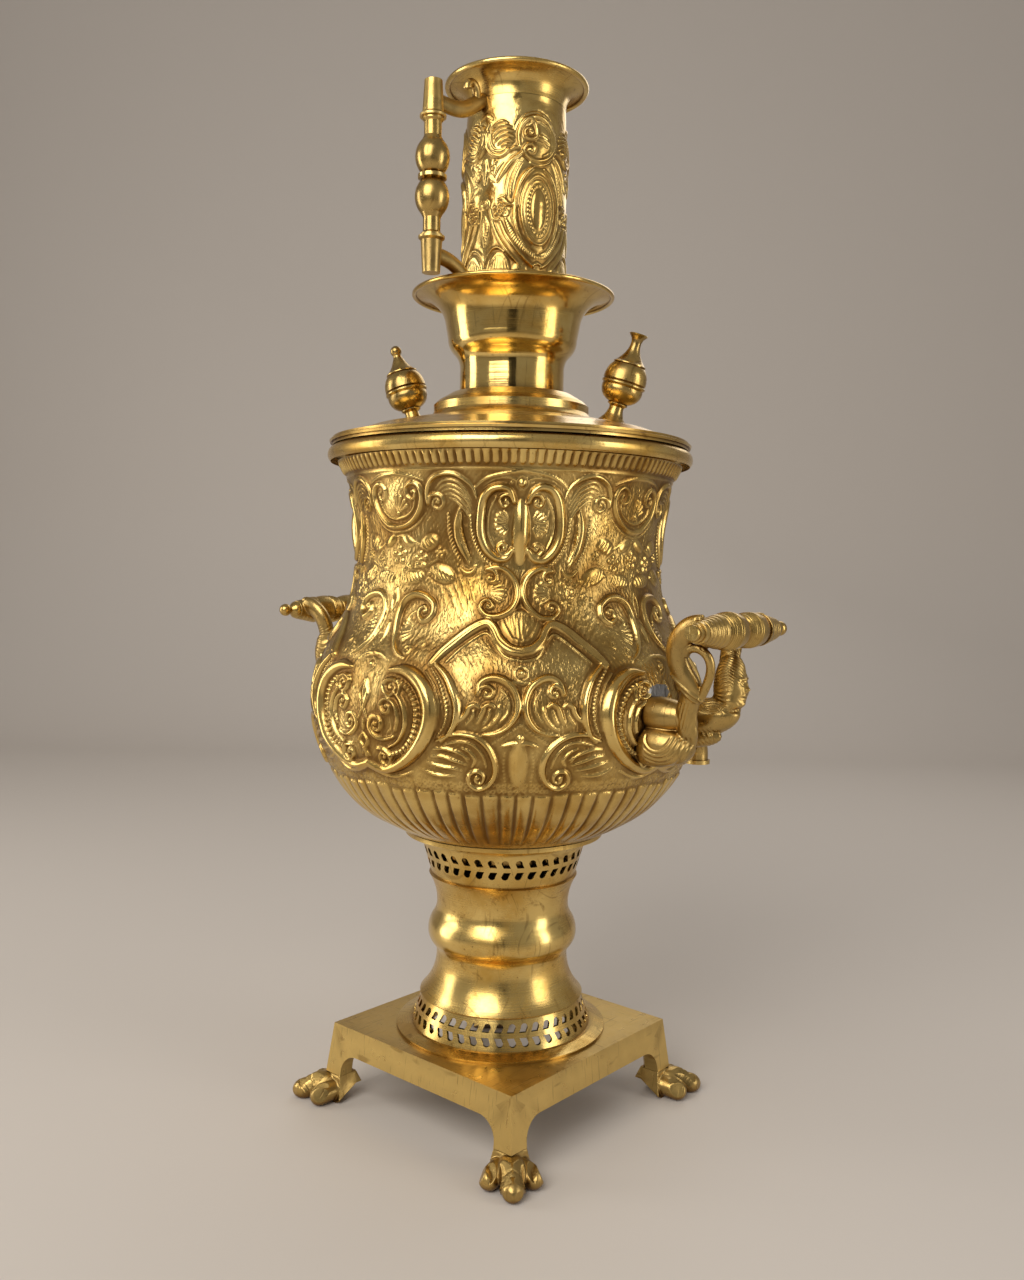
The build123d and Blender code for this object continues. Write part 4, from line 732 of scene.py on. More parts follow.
    # Medallion: a broad crescent round a scalloped shell with volutes
    r.stroke([(97.6, 275.4), (102.6, 275.8), (107, 272), (110.2, 265.4), (111.6, 256.6), (111.0, 246.6),
              (108.4, 237), (104.6, 229.4), (100, 223.8), (95.4, 221), (90, 223.4)],
             [1.2, 3.4, 4.6, 5.0, 5.0, 4.8, 4.4, 3.8, 3.0, 2.3, 1.8],
             [1.6, 3.0, 3.9, 4.1, 3.9, 3.3, 2.6, 1.8], power=0.8)
    r.stroke([(97.4, 270.6), (102, 269.6), (105.6, 264.6), (107.6, 257.4), (107.9, 249.4), (106.4, 240.8),
              (103.2, 233.6), (98.8, 229.8)],
             [1.0, 2.0, 2.2, 2.2, 2.0, 1.4], [1.8, 2.4, 2.4, 1.7], ticks=2.9, deep=0.75, lean=0.0)
    r.stroke([(100.6, 264.4), (103.2, 259.4), (104.6, 252.6), (104.3, 245.2), (102.3, 238.4), (98.8, 234.2)],
             [0.9, 1.4, 1.5, 1.2, 0.6], 2.1)
    curls = (
        ([(102.2, 262.4), (102.2, 267.6), (99.6, 270.6), (97, 268.6)], (99.5, 266, 1.1), 1.2),
        ([(101.6, 244), (102.4, 250.6), (101.2, 257.4), (98.4, 260), (96.6, 257.6)], (98.6, 255.6, 1.0), 1.2),
        ([(100.6, 240), (97.6, 238.4), (94.6, 239.6), (92.4, 244), (93.4, 249.2), (95.6, 250)],
         (95, 245.4, -1.1), 1.3),
        ([(95, 232.6), (97.8, 232.4), (99.4, 228.8), (98.2, 224.6)], (96.8, 228.2, -0.95), 1.2),
    )
    for line, (cx, cz, turns), half in curls:
        r.stroke(r.curled(line, end=(cx, cz, turns)), [half * 0.8, half * 1.15, half * 0.9, half * 0.6],
                 [1.7, 2.3, 1.9, 1.5])
        r.dome(cx, cz, 1.0, 1.0, 1.9)
    r.dome(90, 263.6, 3.4, 7.6, 1.9, both=False, power=1.0)
    r.stroke([(90, 270), (91.6, 262), (90.4, 254.6), (91.6, 248)], [0.6, 1.2, 0.6], 1.5)
    r.stroke([(90, 240), (91.5, 236), (90.3, 231.5), (91.4, 227.6)], [0.7, 1.2, 0.6], 1.5)
    r.dome(90, 244.6, 1.9, 3.6, 1.8, both=False)
    r.dome(90, 228.6, 2.6, 3.0, 1.5, both=False)
    r.stroke([(90, 222), (93.4, 219.4), (97, 217.8), (101, 218.6), (105.6, 222.4)], [1.5, 1.5, 1.2, 0.5],
             [1.7, 1.6, 0.9])
    # Lower leaf scroll, running away to the medallion
    scroll = [(113.2, 240.2), (116.6, 243.4), (120, 244.4), (123.6, 242.8), (126.6, 238), (128.4, 231),
              (128.6, 223.2), (126.8, 217.2), (123.8, 214.8), (121.4, 217.8)]
    r.stroke(r.curled(scroll, end=(123.9, 220.4, -1.25)), [0.8, 1.4, 1.8, 1.9, 1.8, 1.5, 1.2, 0.8],
             [1.5, 2.0, 2.1, 1.9, 1.5])
    r.stroke([(115.2, 238), (119.6, 240.2), (122.8, 238.6), (125.3, 233.4), (126.4, 226.4)],
             [0.4, 0.8, 0.8, 0.4], 1.1)
    r.dome(123.9, 220.4, 1.3, 1.3, 1.8)
    for i, (x, z) in enumerate(((112.4, 235.4), (111.6, 231.8), (110.2, 228.2), (108.2, 224.4))):
        r.stroke([(x, z), (x + 3, z + 0.6 - i), (x + 6.4, z - 1.6 - 0.6 * i), (x + 9.4, z - 4.8 + 0.5 * i)],
                 [0.5, 1.2, 1.2, 0.4], [0.9, 1.5, 1.1])
    r.stroke([(119.8, 236.8), (122, 234.6), (123.3, 230.2), (122.6, 226.6)], [0.5, 1.2, 0.5], 1.2)
    r.stroke([(117.6, 234.4), (120, 232.8), (121.2, 229.4)], [0.5, 1.0, 0.5], 1.0)
    # Middle scroll, back to back on the handles' line
    scroll = [(106.2, 311.6), (102.8, 314.8), (98.6, 315.2), (95.2, 312.2), (93.6, 305.6), (93.9, 297.6),
              (95.6, 290.4), (98, 285.2), (101, 282.2)]
    r.stroke(r.curled(scroll, start=(103.6, 306.6, -1.15)), [0.9, 1.5, 2.1, 2.4, 2.3, 1.7, 0.6],
             [1.4, 2.0, 2.3, 2.1, 1.3])
    r.dome(103.6, 306.6, 1.4, 1.4, 1.7)
    r.fan(103.4, 297.4, 150, 218, 5.4, 12.2, 6, 1.1, tip=0.15)
    r.stroke([(100.2, 306.6), (98.4, 303.4), (97.9, 298)], [0.5, 0.9, 0.4], 1.0)
    r.ring(101.4, 286.8, 2.1, 0.6, 1.0, eye=0.9)
    r.ring(105.6, 290.8, 1.5, 0.5, 0.8, eye=0.6)
    r.stroke([(90, 318), (91.2, 312), (90.4, 305)], [1.4, 1.1, 0.4], 1.2)
    r.dome(90, 296, 2.0, 5.5, 1.2, both=False)
    r.dome(90, 277.6, 2.2, 2.2, 1.8, both=False)
    r.ring(90, 277.6, 3.8, 0.6, 0.9, both=False)
    r.stroke([(90, 284), (93, 283.4), (96.2, 280.4)], [0.8, 0.8, 0.4], 1.0)
    # Wedge and beaded gable at the foot of the panel
    r.dome(135, 228.6, 5.6, 14.5, 1.5, both=False, power=0.9)
    r.stroke([(135, 243), (134.9, 230), (135, 215.6)], [1.8, 1.0, 0.3], [1.6, 2.2, 1.5], both=False)
    r.beads([(135, 250.2), (131.6, 245), (127.8, 239.6)], 1.9, 0.75, 0.9)
    r.stroke([(130.4, 238.6), (133, 240.2), (135, 240.4)], [0.5, 1.2, 1.3], 1.5)
    r.beads([(131.4, 236), (131, 227), (131.6, 217.4)], 2.0, 0.7, 0.7)


def vessel_radius(z):
    """The vessel's outer radius in millimetres at height z, arc by arc as the CAD has it."""
    z = np.asarray(z, float)
    bowl = 32.44 + np.sqrt(np.clip(85.56**2 - (252 - z) ** 2, 0, None))
    shoulder = 118 - 63.8 + np.sqrt(np.clip(63.8**2 - (z - 252) ** 2, 0, None))
    hollow = 91.9 + 74.9 - np.sqrt(np.clip(74.9**2 - (333 - z) ** 2, 0, None))
    neck = 91.9 + 188.2 - np.sqrt(np.clip(188.2**2 - (z - 333) ** 2, 0, None))
    flare = 159.7 - np.sqrt(np.clip(65**2 - (z - 359.2) ** 2, 0, None))
    return np.select([z < 252, z < 289.26, z < 333, z < 373], [bowl, shoulder, hollow, neck], flare)


def add_piece(name, mesh, material, body):
    """A piece of the samovar with its look and the body that it rides on."""
    obj = add_object(name, mesh)
    dress(obj, material)
    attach(obj, body)
    return obj


def grid_mesh(name, points, normals, fields):
    """A mesh of quads over a grid of points, with its own normals and with the fields as attributes."""
    rows, wide = points.shape[:2]
    first = (np.arange(rows - 1)[:, None] * wide + np.arange(wide - 1)[None, :]).ravel()
    quads = np.stack([first, first + 1, first + 1 + wide, first + wide], 1)
    mesh = bpy.data.meshes.new(name)
    mesh.vertices.add(rows * wide)
    mesh.vertices.foreach_set("co", (points * MM).astype(np.float32).ravel())
    mesh.loops.add(quads.size)
    mesh.loops.foreach_set("vertex_index", quads.astype(np.int32).ravel())
    mesh.polygons.add(len(quads))
    mesh.polygons.foreach_set("loop_start", np.arange(0, quads.size, 4, dtype=np.int32))
    mesh.update(calc_edges=True)
    mesh.shade_smooth()
    for key, field in fields.items():
        layer = mesh.attributes.new(key, "FLOAT", "POINT")
        layer.data.foreach_set("value", field.astype(np.float32).ravel())
    u, v = np.meshgrid(np.linspace(0.002, 0.998, wide), np.linspace(0.002, 0.998, rows))
    corners = np.stack([u.ravel()[quads.ravel()], v.ravel()[quads.ravel()]], 1)
    mesh.uv_layers.new(name="OFBake").data.foreach_set("uv", corners.astype(np.float32).ravel())
    mesh.normals_split_custom_set_from_vertices(normals.reshape(-1, 3).astype(np.float32))
    return mesh


def wrapped_normals(points):
    """Normals of a grid of points that closes round the axis."""
    across = np.roll(points, -1, 1) - np.roll(points, 1, 1)
    normal = np.cross(across, np.gradient(points, axis=0))
    return normal / np.maximum(np.linalg.norm(normal, axis=2, keepdims=True), 1e-12)


def raise_wall(name, body, node, profile, az, height, fields, parts):
    """The embossed wall as pieces that stand side by side round the axis and replace the CAD node."""
    z, radius, out, rise = profile
    r = radius[:, None] + height * out[:, None]
    turn = np.radians(az)[None, :]
    points = np.stack([r * np.cos(turn), r * np.sin(turn), z[:, None] + height * rise[:, None]], 2)
    worn = BACK + BACK_ROOM * np.tanh((points[..., 1] - BACK) / BACK_ROOM)
    points[..., 1] = np.where(points[..., 1] > BACK, worn, points[..., 1])
    normals = wrapped_normals(points)
    columns = len(az) // parts
    for part in range(parts):
        pick = np.arange(part * columns, (part + 1) * columns + 1) % len(az)
        own = f"{name}_{part + 1}"
        mesh = grid_mesh(own, points[:, pick], normals[:, pick], {k: f[:, pick] for k, f in fields.items()})
        piece = add_piece(own, mesh, CHASED, body)
        if part == 0:
            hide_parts(node)


def rest_of(node, name, body, material, low, high, radius_at, sheet):
    """A copy of a CAD node's mesh without the outer wall that the relief stands for."""
    mesh = NODES[node].data.copy()
    form = bmesh.new()
    form.from_mesh(mesh)
    drop = []
    for face in form.faces:
        p = face.calc_center_median() / MM
        if low < p.z < high and math.hypot(p.x, p.y) > float(radius_at(p.z)) - sheet:
            drop.append(face)
    bmesh.ops.delete(form, geom=drop, context="FACES")
    form.to_mesh(mesh)
    form.free()
    add_piece(name, mesh, material, body)


def profile_rows(radius_at, low, high, step):
    """Heights spaced evenly along a profile, with the profile's outward normal there."""
    z = np.linspace(low, high, 4000)
    r = radius_at(z)
    run = np.concatenate([[0], np.cumsum(np.hypot(np.diff(r), np.diff(z)))])
    count = int(run[-1] / step)
    rows = np.interp(np.linspace(0, run[-1], count + 1), run, z)
    slope = (radius_at(rows + 0.05) - radius_at(rows - 0.05)) / 0.1
    length = np.hypot(1, slope)
    return rows, radius_at(rows), 1 / length, -slope / length


def sample(field, rows, columns):
    """Bilinear values of a field at fractional rows and columns."""
    r = np.clip(rows, 0, field.shape[0] - 1.001)
    c = np.clip(columns, 0, field.shape[1] - 1.001)
    i, j = r.astype(int), c.astype(int)
    fr, fc = r - i, c - j
    here = field[i, j] * (1 - fc) + field[i, j + 1] * fc
    above = field[i + 1, j] * (1 - fc) + field[i + 1, j + 1] * fc
    return here * (1 - fr) + above * fr


def panel_maps(variant):
    """One drawn panel of the vessel with its hatched ground, and how bare of forms that ground is."""
    r = Relief(PANEL_SPAN, PANEL_RISE, PANEL_X, PANEL_Z, vessel_radius, mirror=135, seed=variant)
    draw_panel(r)
    k = vessel_radius(r.z)[:, None] * math.pi / 180
    gx, gz = (r.x - r.mirror)[None, :] * k, r.z[:, None] + 0 * k
    shape = gx.shape
    drift = value_noise(shape, (16, 12), variant + 20)
    fine = value_noise(shape, (70, 50), variant + 30)
    fade = value_noise(shape, (26, 20), variant + 40)
    spread = np.arctan2(gz - 236, gx) * 46
    slant = 0.77 * np.abs(gx) + 0.64 * gz
    near_arch = np.clip((27 - np.abs(gx / k)) / 4, 0, 1)
    near_arch = near_arch * np.clip((gz - 258) / 6, 0, 1) * np.clip((334 - gz) / 6, 0, 1)
    radial = np.sin(2 * np.pi * spread / 2.3 + 2.6 * drift + 1.2 * fine)
    combed = np.sin(2 * np.pi * slant / 2.2 + 3.2 * drift + 1.6 * fine)
    texture = (near_arch * radial + (1 - near_arch) * 0.75 * combed) * (0.7 + 0.6 * fade) + 0.5 * fine
    rng = np.random.default_rng(variant + 50)
    for _ in range(46):
        x, z = rng.uniform(148.5, 160), rng.uniform(311, 327)
        r.dome(x, z, 1.5, 1.3, 0.55, both=False, edge=0.25, plain=False)
    bare = np.clip(1 - 1.25 * r.layers["plain"], 0, 1)
    return r.heights() + 0.26 * texture * bare, bare


def vessel_borders(az, z):
    """Flutes under the rim and gadroons on the bowl, round the whole vessel."""
    gadroons, flutes = 72, 132
    rng = np.random.default_rng(11)
    z2 = z[:, None] + 0 * az[None, :]
    pitch = 360 / gadroons
    wobble = rng.normal(0, 0.10, gadroons)
    tops = rng.normal(0, 0.7, gadroons)
    index = np.floor(az / pitch).astype(int) % gadroons
    after = (index + 1) % gadroons
    left, right = index * pitch + wobble[index] * pitch, (index + 1) * pitch + wobble[after] * pitch
    right = np.where(after == 0, 360 + wobble[0] * pitch, right)
    share = np.clip((az - left) / (right - left), 0, 1)
    lobe = 1 - np.abs(2 * share - 1) ** 3.2
    side = (np.abs(2 * share - 1) ** 6)[None, :]
    top = 211.3 + tops[index][None, :] - 1.6 * side
    amount = np.clip((z2 - 174) / 16, 0, 1) ** 0.7 * np.clip((top - z2) / 1.3, 0, 1)
    gadroon = 1.35 * lobe[None, :] * amount
    pitch = 360 / flutes
    share = (az / pitch) % 1 - 0.5
    across = share[None, :] * pitch * math.pi / 180 * 102
    below = np.clip(386.4 - z2, 0, None)
    distance = np.sqrt(across**2 + below**2) / 1.95
    flute = 1.35 * np.clip(1 - distance**2, 0, None) ** 0.6 * np.clip((394 - z2) / 1.0, 0, 1)
    flute += 0.6 * np.exp(-(((z2 - 382.4) / 0.55) ** 2))
    return gadroon, flute


def punched_rings(az, z):
    """Two rows of ring punches along the foot of the panels."""
    low, x_step, z_step = 209, 0.25, 0.35
    rings = Relief((0, 360), (low, 222), x_step, z_step, vessel_radius, seed=9)
    rng = np.random.default_rng(12)
    for angle in np.arange(0.6, 359.4, 1.5):
        for level in (213.6, 216.3):
            rings.ring(angle + rng.normal(0, 0.2), level + rng.normal(0, 0.4), 1.0, 0.4, 0.55, both=False)
    z = z[:, None]
    punch = sample(rings.layers["line"], (z - low) / z_step + 0 * az, az[None, :] / x_step + 0 * z)
    return np.where((z > low + 0.5) & (z < 221), punch, 0)


def build_vessel():
    """The vessel's embossed wall: four panels, ring punches, flutes and gadroons, with dents from use."""
    step = 0.62
    around = 1152
    fine = 0.62 / step
    profile = profile_rows(vessel_radius, VESSEL_LOW - 0.05, VESSEL_HIGH, step)
    z = profile[0]
    az = np.arange(around) * 360 / around
    gadroon, flute = vessel_borders(az, z)
    maps = [panel_maps(seed) for seed in (3, 4, 5, 6)]
    shape = (len(z), around)
    shift, lift = (value_noise(shape, (9, 24), seed, wrap=True) for seed in (70, 71))
    dent = value_noise(shape, (12, 30), 72, wrap=True)
    knock = value_noise(shape, (40, 110), 73, wrap=True)
    relief, bare = np.zeros(shape), np.ones(shape)
    inward = np.sin(np.pi * (az % 90) / 90) ** 0.5
    for quarter, (height, ground) in enumerate(maps):
        pick = np.where((az >= 90 * quarter) & (az < 90 * quarter + 90))[0]
        across = (az[pick] % 90 + 90 - PANEL_SPAN[0])[None, :] / PANEL_X
        columns = across + 2.0 * shift[:, pick] * inward[None, pick]
        rows = (z[:, None] - PANEL_RISE[0]) / PANEL_Z + 1.6 * lift[:, pick]
        valid = (rows > 0) & (rows < height.shape[0] - 2)
        relief[:, pick] = np.where(valid, sample(height, rows, columns), 0)
        bare[:, pick] = np.where(valid, sample(ground, rows, columns), 1)
    relief = np.where(relief < 0.45, np.maximum(relief, punched_rings(az, z)), relief)
    window = (np.clip((z - 208) / 3, 0, 1) * np.clip((383 - z) / 2, 0, 1))[:, None]
    relief = 1.12 * relief * window + gadroon + flute
    ends = np.clip((z - VESSEL_LOW) / 5, 0, 1) * np.clip((VESSEL_HIGH - z) / 2, 0, 1)
    height = relief * (1 + 0.12 * dent) + 0.35 * dent + 0.07 * knock
    height = (blur(height, 0.45 * fine) - 0.85) * ends[:, None]
    broad = blur(height, 4.5 * fine)
    fields = {"relief": np.clip(0.5 + (height - broad) / 1.9 + 0.05 * broad, 0, 1), "ground": bare * window}
    raise_wall("vessel_relief", "samovar", "vessel_body", profile, az, height, fields, 6)
    rest_of("vessel_body", "vessel_rim", "samovar", SPUN,
            VESSEL_LOW, VESSEL_HIGH, vessel_radius, 0.75)


def pipe_radius(z):
    """The chimney pipe's outer radius in millimetres at height z."""
    return np.interp(np.asarray(z, float), [456.5, 574.6, 602.6], [31.3, 31.3, 29.5])


def oval_points(x, z, across, up, low, high, count=25):
    """Points along an oval between two angles in degrees, its half width given in degrees round the axis."""
    turn = np.radians(np.linspace(low, high, count))
    return np.stack([x + across * np.cos(turn), z + up * np.sin(turn)], 1)


def draw_chimney(r):
    """A third of the chimney pipe: a round scroll, a shell in its cradle, a flower, ribbons and a lens."""
    # Round scroll with two volutes
    r.dome(155, 577.5, 12.6, 13.6, 0.8, kind="hill", both=False, power=0.6)
    r.stroke(oval_points(155, 577.5, 25.4, 14.8, 168, -108), [0.4, 0.7, 0.7, 0.6], [0.5, 0.9, 0.9],
             both=False, jitter=0.05)
    r.stroke(oval_points(155, 577.5, 21.6, 12.6, 205, -112), [0.8, 1.2, 1.4, 1.3, 0.9], [1.1, 1.6, 1.7, 1.3],
             both=False, jitter=0.05)
    r.stroke(oval_points(156, 577.5, 17.0, 9.9, 140, -70), [0.3, 0.6, 0.6, 0.4], 0.9, both=False, jitter=0.05)
    upper = [(134.8, 573.4), (134.6, 580.5), (138.2, 586.2), (144.4, 588.6), (150.6, 587.0), (153.8, 582.6)]
    r.stroke(r.curled(upper, end=(145.8, 580.2, -1.35)), [0.6, 1.0, 1.1, 0.9, 0.6], [1.2, 1.7, 1.8, 1.4],
             both=False)
    r.dome(145.6, 580.2, 1.3, 1.3, 2.2, both=False)
    lower = [(172.4, 573.8), (168, 568.6), (160, 565.6), (151, 565.0), (143.4, 566.6), (139.8, 570.2)]
    r.stroke(r.curled(lower, end=(147, 570.6, -1.25)), [0.5, 0.9, 1.1, 0.9, 0.6], [1.0, 1.5, 1.7, 1.4],
             both=False)
    r.dome(147, 570.5, 1.2, 1.2, 1.9, both=False)
    for i, (length, drop) in enumerate(((15.5, 0.4), (17.5, 1.2), (12.0, 1.6))):
        start = 151.6 + 0.6 * i
        r.stroke([(start, 579.0 - 1.7 * i), (start + length / 2, 578.8 - 1.8 * i),
                  (start + length, 578.4 - 1.8 * i - drop)],
                 [0.4, 0.75, 0.5], [0.8, 1.5, 0.9], both=False)
    # Shell and its double cradle
    r.dome(115.5, 577.2, 7.6, 8.6, 1.0, kind="hill", power=0.8)
    ribs = (
        [(104.5, 583.6), (109.5, 585.6), (116, 586.4), (122.5, 585.4)],
        [(105.4, 580.6), (110.8, 583.2), (117.6, 584.0), (126.0, 583.2)],
        [(106.6, 577.6), (112.4, 580.6), (119.6, 581.6), (129.4, 580.4)],
        [(108.6, 575.0), (114.6, 577.9), (121.4, 578.9), (129.8, 577.4)],
        [(111.6, 573.0), (117.2, 575.3), (122.8, 576.2), (128.6, 574.6)],
        [(115.6, 571.9), (120.4, 573.2), (125.2, 573.2)],
    )
    for rib in ribs:
        r.stroke(rib, [0.4, 0.75, 0.85, 0.4], [0.8, 1.5, 1.6, 0.8], jitter=0.08)
    cradle = [(101.8, 585.2), (98.6, 582.6), (97.6, 577.8), (98.8, 573.0), (102.4, 569.6), (108.0, 567.5),
              (114.0, 566.9), (119.2, 568.0), (123.4, 570.4)]
    r.stroke(cradle, [0.6, 0.9, 1.1, 1.3, 1.3, 1.2, 0.9], [1.2, 1.6, 1.9, 1.9, 1.6])
    r.stroke([(101.4, 581.4), (101.2, 576.8), (103.6, 572.4), (108.6, 569.9), (114.6, 569.4),
              (120.2, 571.2)], [0.4, 0.7, 0.8, 0.6], [0.9, 1.4, 1.1])
    r.dome(99.6, 581.0, 1.3, 1.3, 1.7)
    r.stroke([(124.6, 569.8), (129.4, 571.4), (134.2, 571.6)], [0.6, 0.9, 0.5], [1.5, 1.2])
    r.stroke([(126, 568.6), (131, 569.4), (136.4, 569.8)], 0.5, 0.7, kind="cut")
    for x, z, size in ((109.4, 563.8, 1.25), (106.3, 560.6, 1.05), (103.6, 557.8, 0.85)):
        r.dome(x, z, size, size, 1.2)
    r.stroke([(100.6, 560.4), (104.4, 555.6), (109.6, 552.4)], [0.3, 0.6, 0.3], 0.8)
    # Ribbed ribbons that run down from the round scroll
    r.stroke([(137.0, 568.6), (130.2, 565.6), (123.6, 561.6), (117.6, 557.4), (112.4, 552.6)],
             [0.7, 1.3, 1.4, 1.2, 0.6], [1.4, 1.9, 1.6, 1.0])
    r.stroke([(134.6, 565.0), (128.6, 560.6), (124.0, 555.2), (121.6, 549.2), (121.2, 544.4)],
             [0.4, 0.8, 0.9, 0.6], [0.9, 1.4, 1.1])
    r.stroke([(139.0, 565.6), (133.0, 560.8), (128.8, 555.0), (126.8, 549.0), (126.6, 543.8)],
             [0.4, 0.7, 0.7, 0.5], [0.8, 1.2, 1.0], ticks=1.7, deep=0.5)
    r.stroke([(117.6, 563.2), (112.6, 559.6), (108.6, 555.4)], [0.3, 0.6, 0.3], 0.8)
    r.stroke([(144.6, 564.6), (139.4, 567.2)], 0.7, 0.8, kind="cut", both=False)
    # Lens with a beaded oval
    r.dome(157, 537.5, 15.2, 24.0, 1.2, kind="hill", both=False, power=0.55)
    r.stroke(oval_points(157, 537, 26.0, 24.6, 105, 154), [0.7, 1.5, 1.6, 0.9], [1.5, 2.2, 2.2, 1.4],
             jitter=0.05)
    r.stroke(oval_points(157, 537, 26.0, 24.6, 150, 262), [0.9, 1.2, 1.0, 0.5], [1.4, 1.6, 1.0], jitter=0.05)
    r.stroke(oval_points(157, 537, 22.0, 21.6, 178, 250), 0.9, 0.9, kind="cut", jitter=0.05)
    r.stroke(oval_points(157, 537, 18.6, 19.4, 0, 360, 49), 0.75, 1.0, both=False, jitter=0.05)
    r.stroke(oval_points(157, 537, 15.2, 16.6, 0, 360, 49), 0.45, 0.7, both=False, jitter=0.05)
    r.beads([tuple(p) for p in oval_points(157, 537, 11.6, 14.2, -90, 270, 49)], 2.5, 0.8, 0.6, both=False)
    r.dome(157, 537.5, 4.4, 11.4, 1.5, both=False, power=0.8)
    # Flower at the ribbons' crossing
    for i in range(5):
        turn = 2 * math.pi * i / 5 + 0.2
        r.dome(114.6 + 5.4 * math.cos(turn), 536.8 + 3.0 * math.sin(turn), 1.35, 1.25, 1.6)
    r.dome(114.6, 536.8, 1.3, 1.3, 1.9)
    r.ring(121.4, 534.6, 1.7, 0.5, 1.1, eye=0.7)
    r.stroke([(131.8, 540.8), (127.2, 539.2), (122.8, 540.4), (118.6, 542.6), (113.4, 542.4)],
             [0.5, 1.2, 1.3, 0.6], [1.2, 2.0, 1.3])
    r.stroke([(104.6, 537.6), (106.4, 533.0), (110.4, 531.2), (114.6, 531.8)], [0.5, 0.9, 0.6], 1.4)
    # Lower ribbons
    r.stroke([(105.6, 530.6), (111.4, 523.4), (119.0, 516.4), (128.0, 510.2), (138.4, 504.6)],
             [0.6, 1.2, 1.3, 1.0], [1.2, 1.8, 1.3])
    r.stroke([(112.6, 528.6), (119.4, 520.6), (128.6, 513.4), (141.0, 506.0)], [0.5, 0.9, 1.0, 0.8],
             [0.6, 1.2, 1.2])
    r.stroke([(112.6, 528.6), (119.4, 520.6), (128.6, 513.4), (141.0, 506.0)], 0.8, 0.9, kind="cut",
             jitter=0.05)
    r.stroke([(115.6, 530.2), (122.0, 522.6), (131.2, 515.4), (143.0, 508.6), (152.0, 505.0)],
             [0.7, 1.3, 1.4, 0.9], [1.4, 2.0, 1.5])
    r.stroke([(121.6, 531.0), (128.2, 523.2), (137.6, 516.6), (149.6, 511.6), (157.0, 510.6)],
             [1.0, 2.2, 2.3, 1.2], [0.9, 1.3, 1.0], ticks=1.5, deep=0.7, lean=0.3)
    r.stroke([(150.0, 505.6), (157.0, 507.2)], [0.7, 1.0], 1.2)
    # Hatched hills at the foot
    r.dome(113.6, 503.6, 7.4, 9.6, 1.5, power=0.6)
    for i in range(8):
        lean = (i - 3.5) / 3.5
        r.stroke([(113.6 + 11.5 * lean, 501.5), (113.8 + 9.4 * lean, 505.5),
                  (114.6 + 6.4 * lean, 510.6 - 2.2 * lean**2)], 0.4, 0.7, kind="cut", jitter=0.05)
    r.stroke([(97.0, 505.4), (100.6, 510.8), (106.8, 514.6), (113.8, 515.4), (120.4, 512.6)],
             [0.7, 1.0, 0.8, 0.4], 1.3)
    r.dome(137.6, 502.4, 4.4, 4.8, 1.0)
    # Leaves on the line between two thirds
    r.ring(97, 540.4, 2.3, 0.7, 1.2, eye=0.9)
    r.stroke([(97, 591), (101.4, 590.0), (105.4, 588.0)], [1.1, 0.9, 0.4], 1.2)
    r.stroke([(97, 565.6), (98.4, 559.4), (97, 552.0)], [0.6, 1.5, 0.5], [0.9, 1.6, 0.9])
    r.stroke([(97, 533.6), (99.8, 528.4), (98.6, 521.4), (97, 517.0)], [0.6, 1.3, 0.5], [0.9, 1.5, 0.9],
             ticks=1.6, deep=0.5)
    r.dome(97, 576, 1.6, 3.6, 1.2)


def build_chimney():
    """The chimney pipe's embossed wall: the drawn third three times, with dents from use."""
    step = 0.4
    around = 576
    fine = 0.4 / step
    low, left, first, x_step, z_step = 496, 92, 97, 0.4, 0.25
    profile = profile_rows(pipe_radius, PIPE_LOW, PIPE_HIGH, step)
    z = profile[0]
    az = np.arange(around) * 360 / around
    shape = (len(z), around)
    shift = value_noise(shape, (9, 12), 81, wrap=True)
    dent = value_noise(shape, (10, 8), 82, wrap=True)
    knock = value_noise(shape, (60, 60), 83, wrap=True)
    relief, bare = np.zeros(shape), np.ones(shape)
    for third in range(3):
        r = Relief((left, 222), (low, 600), x_step, z_step, pipe_radius, mirror=157, seed=90 + third)
        draw_chimney(r)
        height = r.heights()
        pick = np.where(np.floor(((az - first) % 360) / 120).astype(int) == third)[0]
        columns = ((az[pick] - first) % 120 + first - left)[None, :] / x_step + 0.9 * shift[:, pick]
        rows = (z[:, None] - low) / z_step + 0 * columns
        valid = (rows > 0) & (rows < height.shape[0] - 2)
        relief[:, pick] = np.where(valid, sample(height, rows, columns), 0)
        ground = np.clip(1 - 1.25 * sample(r.layers["plain"], rows, columns), 0, 1)
        bare[:, pick] = np.where(valid, ground, 1)
    window = (np.clip((z - 499) / 4, 0, 1) * np.clip((598 - z) / 4, 0, 1))[:, None]
    wavy = value_noise(shape, (150, 110), 84, wrap=True)
    relief = blur((0.74 * relief + 0.05 * wavy * bare) * window, 0.7 * fine)
    ends = np.clip((z - PIPE_LOW) / 3, 0, 1) * np.clip((PIPE_HIGH - z) / 3, 0, 1)
    height = relief * (1 + 0.1 * dent) + 0.45 * dent + 0.08 * knock - 0.4
    height = np.clip(blur(height, 0.5 * fine) * ends[:, None], -0.8, 2.4)
    broad = blur(height, 5.0 * fine)
    fields = {"relief": np.clip(0.55 + (height - broad) / 1.7, 0, 1), "ground": 0.2 * bare * window}
    raise_wall("chimney_relief", "chimney", "chimney_pipe", profile, az, height, fields, 3)
    rest_of("chimney_pipe", "chimney_flue", "chimney", CHASED,
            PIPE_LOW, PIPE_HIGH, pipe_radius, 0.5)


# ---------------------------------------------------------------- turned and carved pieces

def stand_in(obj, node, material):
    """The piece takes a CAD node's place on the node's own body, in the material given."""
    dress(obj, material)
    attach(obj, NODES[node]["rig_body"])
    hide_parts(node)


